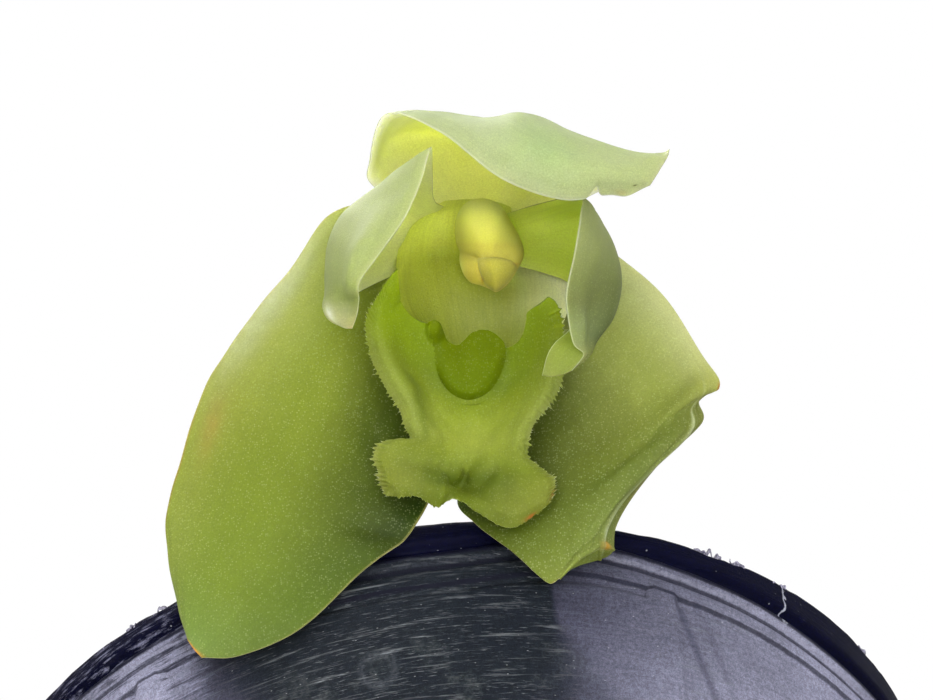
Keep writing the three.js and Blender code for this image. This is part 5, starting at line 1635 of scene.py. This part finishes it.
class PotSkin(Surface):
    """Dark moulded plastic under dust, dried water and scratches, with painted sheen, the flower's painted
    shadow and reflection, and painted shade in its grooves and along a rib. turn is in degrees round the
    pot from its front, and height in millimetres."""

    def __init__(self):
        super().__init__("pot_plastic")
        self.place = self.object_coordinates()
        self.turn = self.surface_coordinates()[0].spread(-180.0, 180.0)
        self.height = self.split(self.place)[2] * 1000.0
        self.wavy = self.noise(self.place, 45, 4.0, 0.6).spread(-6.0, 6.0)
        self.cloudy = self.noise(self.place, 110, 5.0, 0.62).spread(0.35, 1.45)
        self.grain = self.noise(self.place, 2600, 3.0, 0.7)
        self.lower = self.height.falling(72.0, 82.0)
        self.level = self.level_at_the_band()
        self.below_band = self.level.falling(*BAND_EDGE)
        self.flower_shade = self.flower_shade_stretch()
        self.long_lines = self.run_lines(0.13, 2.2, 0.01, 5.0, 0.4)
        self.streak = self.streaks()

    def run_lines(self, along, upward, across, detail, warp):
        """Noise that is drawn out along the rim."""
        stretched = self.vector(self.turn * along, self.height * upward, self.turn * across)
        return self.noise(stretched, 1.0, detail, 0.7, warp)

    def level_at_the_band(self):
        """The height, changed as the dark band's lower edge is, which dips and rises."""
        dip = self.turn.rising(*DIP_STARTS) - self.turn.rising(*DIP_ENDS)
        rise = self.turn.rising(*RISE_STARTS) - self.turn.rising(*RISE_ENDS)
        level = self.height + dip * BAND_DIP - rise * BAND_RISE
        return level + self.noise(self.place, 400, 4.0, 0.7).spread(-0.12, 0.12)

    def flower_shade_stretch(self):
        """The stretch below the flower where its painted shadow and reflection lie, which ends sharply at
        its right near the rim.
        """
        left = (self.turn + self.wavy).rising(-24.0, -14.0)
        soft = self.turn + self.lower * (self.wavy * 1.5) - FLOWER_SHADE_TO
        right = (soft / self.lower.spread(1.0, 14.0)).falling(-0.5, 0.5)
        return left * right * (self.height + self.wavy).rising(30.0, 72.0)

    def dust_and_sheen(self):
        """The plastic's own colour under a film of dust and painted sheen, which is thicker away from the
        front.
        """
        dust_sheen_reach = (1.0 - self.flower_shade) * self.below_band
        farther = self.turn.rising(14.0, 58.0) + self.lower * 0.3 + self.turn.falling(-30.0, -20.0)
        dust_sheen_amount = farther.spread(0.17, 0.98) * self.cloudy * self.height.rising(10.0, 74.0).spread(0.35, 1.0)
        # The pale lavender is dust together with painted sheen of the sky on the glossy plastic; none lies
        # on the band or in the flower's painted shadow.
        color = self.mix(dust_sheen_reach * dust_sheen_amount, linear(1, 2, 26), linear(138, 138, 158))
        # Painted shadow and reflection of the flower: a dark grey-green over the stretch below it, under
        # the band
        color = self.paint(color, self.flower_shade * (self.below_band * 0.6), (32, 37, 38))
        color = self.shade(color, self.grain.rising(0.28, 0.72).spread(0.75, 1.25))
        return self.shade(color, self.noise(self.place, 9000, 2.0).rising(0.3, 0.7).spread(0.75, 1.25))

    def streaks(self):
        """Streaks that run with the rim: long soft ones and short fine ones."""
        short_lines = self.run_lines(0.5, 6.5, 0.0, 3.0, 0.3)
        dense = self.noise(self.place, 60, 3.0).rising(0.36, 0.62)
        long_part = self.long_lines.rising(0.54, 0.76) * dense.spread(0.3, 1.0)
        short_part = short_lines.rising(0.58, 0.76) * dense.spread(0.2, 1.0)
        return self.math("MAXIMUM", long_part, short_part)

    def streaked(self, color):
        amount = self.streak * self.flower_shade.spread(0.25, 0.85) * self.below_band.spread(0.015, 1.0)
        color = self.paint(color, amount, (150, 154, 158))
        bloom = self.noise(self.place, 150, 6.0, 0.8).rising(0.5, 0.8) * self.flower_shade
        bloom = bloom * self.height.falling(74.0, 82.0)
        color = self.paint(color, bloom * self.grain.spread(-0.1, 0.7), (146, 154, 150))
        distance, pick = self.cells(self.vector(self.turn * 0.7, self.height * 1.8), 1.7)
        specks = distance.falling(0.04, 0.16) * pick.rising(0.8, 1.0)
        return self.paint(color, specks * 0.6, (196, 198, 200))

    def ledged(self, color):
        """Dust and painted sheen on the ledges under the band, and painted shade in the grooves between
        them.
        """
        for at, width, dust_and_sheen in LEDGE_LINES:
            line = abs(self.level - at).falling(0.4 * width, width)
            if dust_and_sheen:
                line = line * self.grain.spread(-0.2, 0.96)
                color = self.paint(color, line * self.flower_shade.spread(1.0, 0.1), (134, 134, 150))
            else:
                # painted shade in the groove
                color = self.paint(color, line * 0.75, (14, 14, 28))
        return color

    def rib_edge_shaded(self, color):
        """Painted shade along a rib's edge, which runs slanting down from the rim at the right, and a
        fainter one beside it.
        """
        beside = self.turn - self.math("MULTIPLY_ADD", self.height, RIB_SHADE_SLOPE, RIB_SHADE_START)
        edge = abs(beside).falling(0.1, 0.9)
        second = abs(beside - 2.9).falling(0.1, 0.8)
        edge = self.math("MAXIMUM", edge, second * 0.5)
        reach = self.height.rising(55.0, 80.0) - self.height.rising(85.4, 86.0)
        return self.paint(color, edge * (reach * self.cloudy.spread(0.2, 0.5)), (34, 34, 54))

    def stained(self, color):
        """A round stain, and a pale crack in the band."""
        across = (self.turn - STAIN_PLACE[0]) * 0.85
        upward = (self.height - STAIN_PLACE[1]) * 0.9
        away = self.math("SQRT", across * across + upward * upward)
        away = away + self.noise(self.place, 500, 3.0).spread(-0.35, 0.35)
        ring = away.rising(0.8, 1.5) * away.falling(1.5, 2.2)
        color = self.paint(color, ring * self.grain.spread(-0.1, 0.25), (136, 142, 150))
        jag = self.turn + self.noise(self.place, 900, 2.0).spread(-0.9, 0.9)
        crack = abs(jag - CRACK_TURN).falling(0.08, 0.2) * (1.0 - self.below_band)
        return self.paint(color, crack * 0.75, (170, 172, 186))

    def scuffed(self, color):
        """Scuffs on the left."""
        rubbed = self.noise(self.vector(self.turn * 0.22, self.height * 1.7), 1.6, 5.0, 0.72)
        at_left = self.turn.falling(-25.0, -20.0)
        color = self.paint(color, rubbed.rising(0.5, 0.72) * at_left.spread(0.0, 0.7), (150, 150, 176))
        dark = self.long_lines.falling(0.38, 0.5) * at_left.spread(0.15, 0.7)
        return self.paint(color, dark, (14, 14, 30))


def pot_material():
    s = PotSkin()
    color = s.scuffed(s.stained(s.rib_edge_shaded(s.ledged(s.streaked(s.dust_and_sheen())))))
    height = s.grain * 0.8 + s.long_lines * 0.8 + s.streak * 0.8
    s.set(Base_Color=color, Roughness=s.cloudy.spread(0.4, 0.55), Specular_IOR_Level=0.05)
    s.set(Normal=s.relief(height, 0.00016, 0.7))
    return s.material


def flash_material():
    s = Surface("rim_flash")
    place = s.object_coordinates()
    color = s.tints(s.noise(place, 1400, 3.0, 0.7), [(0.35, 40, 38, 60), (0.75, 180, 176, 196)])
    s.set(Base_Color=color, Roughness=0.6, Specular_IOR_Level=0.3)
    s.set(Normal=s.relief(s.noise(place, 2600, 3.0), 0.00008, 0.6))
    return s.material


def wall_radius(height):
    return BASE_RADIUS + (WALL_TOP_RADIUS - BASE_RADIUS) * height / (POT_HEIGHT - RIM_BAND)


def rounded(profile, radius, steps=4):
    """A profile whose corners are rounded off."""
    points = [np.array(point, float) for point in profile]
    made = [points[0]]
    for before, corner, after in zip(points, points[1:], points[2:]):
        back = before - corner
        ahead = after - corner
        reach = min(radius, 0.45 * np.linalg.norm(back), 0.45 * np.linalg.norm(ahead))
        start = corner + back / np.linalg.norm(back) * reach
        end = corner + ahead / np.linalg.norm(ahead) * reach
        for share in np.linspace(0, 1, steps):
            made.append((1 - share) ** 2 * start + 2 * share * (1 - share) * corner + share**2 * end)
    made.append(points[-1])
    return np.array(made)


def pot_profile():
    band_foot = POT_HEIGHT - RIM_BAND
    ledge = POT_HEIGHT - LEDGE_DROP
    lower = ledge - GROOVE_HEIGHT
    outside = [
        [0.5, 0],
        [CENTRE_FOOT_RADIUS, 0],
        [CENTRE_FOOT_RADIUS + FOOT_SLOPE, FLOOR_RAISE],
        [FOOT_RING_INNER - FOOT_SLOPE, FLOOR_RAISE],
        [FOOT_RING_INNER, 0],
        [BASE_RADIUS - FOOT_SLOPE, 0],
        [BASE_RADIUS, FOOT_SLOPE],
        [wall_radius(lower), lower],
        [wall_radius(lower) - LEDGE_STEP, lower + GROOVE_SLOPE],
        [wall_radius(ledge) - LEDGE_STEP, ledge - GROOVE_SLOPE],
        [wall_radius(ledge), ledge],
        [wall_radius(ledge) + 0.15, band_foot - 1.9],
        [wall_radius(ledge) - 0.35, band_foot - 1.6],
        [wall_radius(band_foot) - LEDGE_STEP, band_foot - 0.9],
        [wall_radius(band_foot) + 0.1, band_foot - 0.5],
        [wall_radius(band_foot) + 0.15, band_foot],
        [wall_radius(band_foot) - 0.3, band_foot + 0.25],
        [wall_radius(band_foot) - 0.25, band_foot + 0.7],
        [RIM_RADIUS - 0.15, band_foot + 1.1],
        [RIM_RADIUS, POT_HEIGHT - 1],
        [RIM_RADIUS, POT_HEIGHT],
    ]
    inside = [
        [RIM_RADIUS - RIM_WIDTH, POT_HEIGHT],
        [WALL_TOP_RADIUS - LEDGE_STEP - WALL, band_foot - GROOVE_HEIGHT],
        [wall_radius(lower) - LEDGE_STEP - WALL, lower],
        [wall_radius(FLOOR_TOP) - WALL, FLOOR_TOP],
        [0.5, FLOOR_TOP],
    ]
    return rounded(outside + inside, 0.45)


def rib_turns():
    return [math.radians(60 * k + 30) for k in range(RIB_COUNT)]


def turns_round_the_pot():
    """Even turns from the back, and further ones where the ribs rise and fall."""
    turns = set(whole_turn(300).round(6))
    for turn in rib_turns():
        for step in (-1.3, -1.15, -0.95, -0.75, 0.75, 0.95, 1.15, 1.3):
            turns.add(round(turn + step * RIB_REACH, 6))
    return np.array(sorted(turns))


def with_ribs(turns, radius, height, outer):
    """Flat ribs that bridge the groove under the rim."""
    on_wall = outer & (height > RIB_FOOT) & (height < POT_HEIGHT - LEDGE_DROP + 1)
    for turn in rib_turns():
        off = np.abs(turns - turn) / RIB_REACH
        ridge = 1 - smooth_step(off, 0.75, 1.3)
        level = wall_radius(height) + RIB_RELIEF * ridge[None, :]
        radius = np.where(on_wall & (ridge[None, :] > 0), np.maximum(radius, level), radius)
    return radius


def rim_wear(turns, front):
    """How far the rim is worn down where the moulding's flash was trimmed."""
    ragged = np.zeros(len(turns))
    for count, phase, depth in RIM_WAVES:
        ragged += depth * np.sin(count * turns + phase)
    for at, width, depth in RIM_NICKS:
        ragged += depth * np.exp(-(((front - at) / width) ** 2))
    return np.clip(ragged, -0.05, 0.8)


def band_shift(front):
    """How far the band's lower edge, with the grooves under it, lies below its mean height."""
    dip = smooth_step(front, *DIP_STARTS) - smooth_step(front, *DIP_ENDS)
    rise = smooth_step(front, *RISE_STARTS) - smooth_step(front, *RISE_ENDS)
    return BAND_DIP * dip - BAND_RISE * rise


def set_pot_coordinates(mesh, around, up):
    """u runs once round the pot from its back, and v up from its base."""
    layer = mesh.uv_layers.new(name="UVMap")
    for polygon in mesh.polygons:
        shares = [around[mesh.loops[i].vertex_index] for i in polygon.loop_indices]
        wraps = len(shares) == 4 and max(shares) - min(shares) > 0.5
        for i in polygon.loop_indices:
            vertex = mesh.loops[i].vertex_index
            value = around[vertex] + (1.0 if wraps and around[vertex] < 0.5 else 0.0)
            layer.data[i].uv = (value, up[vertex])


def make_pot(material):
    turns = turns_round_the_pot()
    front = np.degrees(turns) - 180
    profile = pot_profile()
    radius = np.repeat(profile[:, 0:1], len(turns), axis=1)
    height = np.repeat(profile[:, 1:2], len(turns), axis=1)
    outer = np.arange(len(profile))[:, None] < np.argmax(profile[:, 1] >= POT_HEIGHT)
    radius = with_ribs(turns, radius, height, outer)
    rim = smooth_step(height, POT_HEIGHT - 1.2, POT_HEIGHT) * (radius > RIM_RADIUS - RIM_WIDTH - 0.1)
    height = height - rim * rim_wear(turns, front)[None, :]
    weight = smooth_step(height, 82, 84.5) * (1 - smooth_step(height, 90, 91.2)) * outer
    height = height - weight * band_shift(front)[None, :]

    x = radius * -np.sin(turns)[None, :]
    y = radius * np.cos(turns)[None, :]
    grid = np.stack([x, y, height], axis=-1)
    mesh = bpy.data.meshes.new("pot_moulded")
    mesh.from_pydata((grid.reshape(-1, 3) * MM).tolist(), [], ring_faces(*grid.shape[:2]))
    mesh.materials.append(material)
    around = np.broadcast_to((turns / (2 * np.pi))[None, :], height.shape).ravel()
    set_pot_coordinates(mesh, around, (height / POT_HEIGHT).ravel())
    face_outward(mesh)
    pot = add_object("pot_moulded", mesh)
    cut_drains(pot)
    pot.data.polygons.foreach_set("use_smooth", [True] * len(pot.data.polygons))
    pot.data.set_sharp_from_angle(angle=math.radians(50))
    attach(pot, "root")
    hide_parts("pot")


def make_flash(material):
    """Thin curled slivers of trimmed plastic that still cling to the rim's outer edge."""
    draws = random.Random(11)
    shape = Shape()
    for front, length, height in SLIVERS:
        angle = math.radians(front)
        out = np.array([math.sin(angle), -math.cos(angle), 0.0])
        ahead = np.array([math.cos(angle), math.sin(angle), 0.0])
        top = np.array([0.0, 0.0, POT_HEIGHT - 0.5]) + out * (RIM_RADIUS - 0.15)
        path = []
        for share in np.linspace(0, 1, len(SLIVER_SIZES)):
            rise = 0.55 * height * math.sin(math.pi * share) * draws.uniform(0.6, 1.3)
            sway = draws.uniform(-0.25, 0.25)
            path.append(top + ahead * (share - 0.5) * length + np.array([0, 0, rise]) + out * sway)
        grid, _ = tube_grid(path, SLIVER_SIZES, 26, 10, [0.2, 0.1, 1.0])
        add_tube(shape, grid)
    shape.piece("rim_flash", [material], "pot_plastic")


def cut_drains(pot):
    cutters = bmesh.new()
    for k in range(RIB_COUNT):
        angle = math.radians(60 * k - 60)
        x, y = DRAIN_RING * math.cos(angle), DRAIN_RING * math.sin(angle)
        place = Matrix.Translation((x * MM, y * MM, 0))
        bmesh.ops.create_cone(cutters, cap_ends=True, segments=32, radius1=DRAIN_RADIUS * MM,
                              radius2=DRAIN_RADIUS * MM, depth=4 * FLOOR_TOP * MM, matrix=place)
    mesh = bpy.data.meshes.new("drain_cutter")
    cutters.to_mesh(mesh)
    cutters.free()
    cutter = add_object("drain_cutter", mesh)
    holes = pot.modifiers.new("drains", "BOOLEAN")
    holes.object = cutter
    holes.solver = "EXACT"
    bpy.context.view_layer.update()
    graph = bpy.context.evaluated_depsgraph_get()
    cut = bpy.data.meshes.new_from_object(pot.evaluated_get(graph))
    pot.modifiers.clear()
    pot.data = cut
    bpy.data.objects.remove(cutter)


# All together

flower_skins = flower_materials()
growth_skins = growth_materials()
make_flower(flower_skins)
make_scape(flower_skins)
make_bulbs(growth_skins)
make_rhizome(growth_skins)
make_leaves(growth_skins)
make_bark_chips(growth_skins)
make_pot(pot_material())
make_flash(flash_material())
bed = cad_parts["bark_medium"]
bed.data.materials.clear()
bed.data.materials.append(growth_skins["bark_bed"])
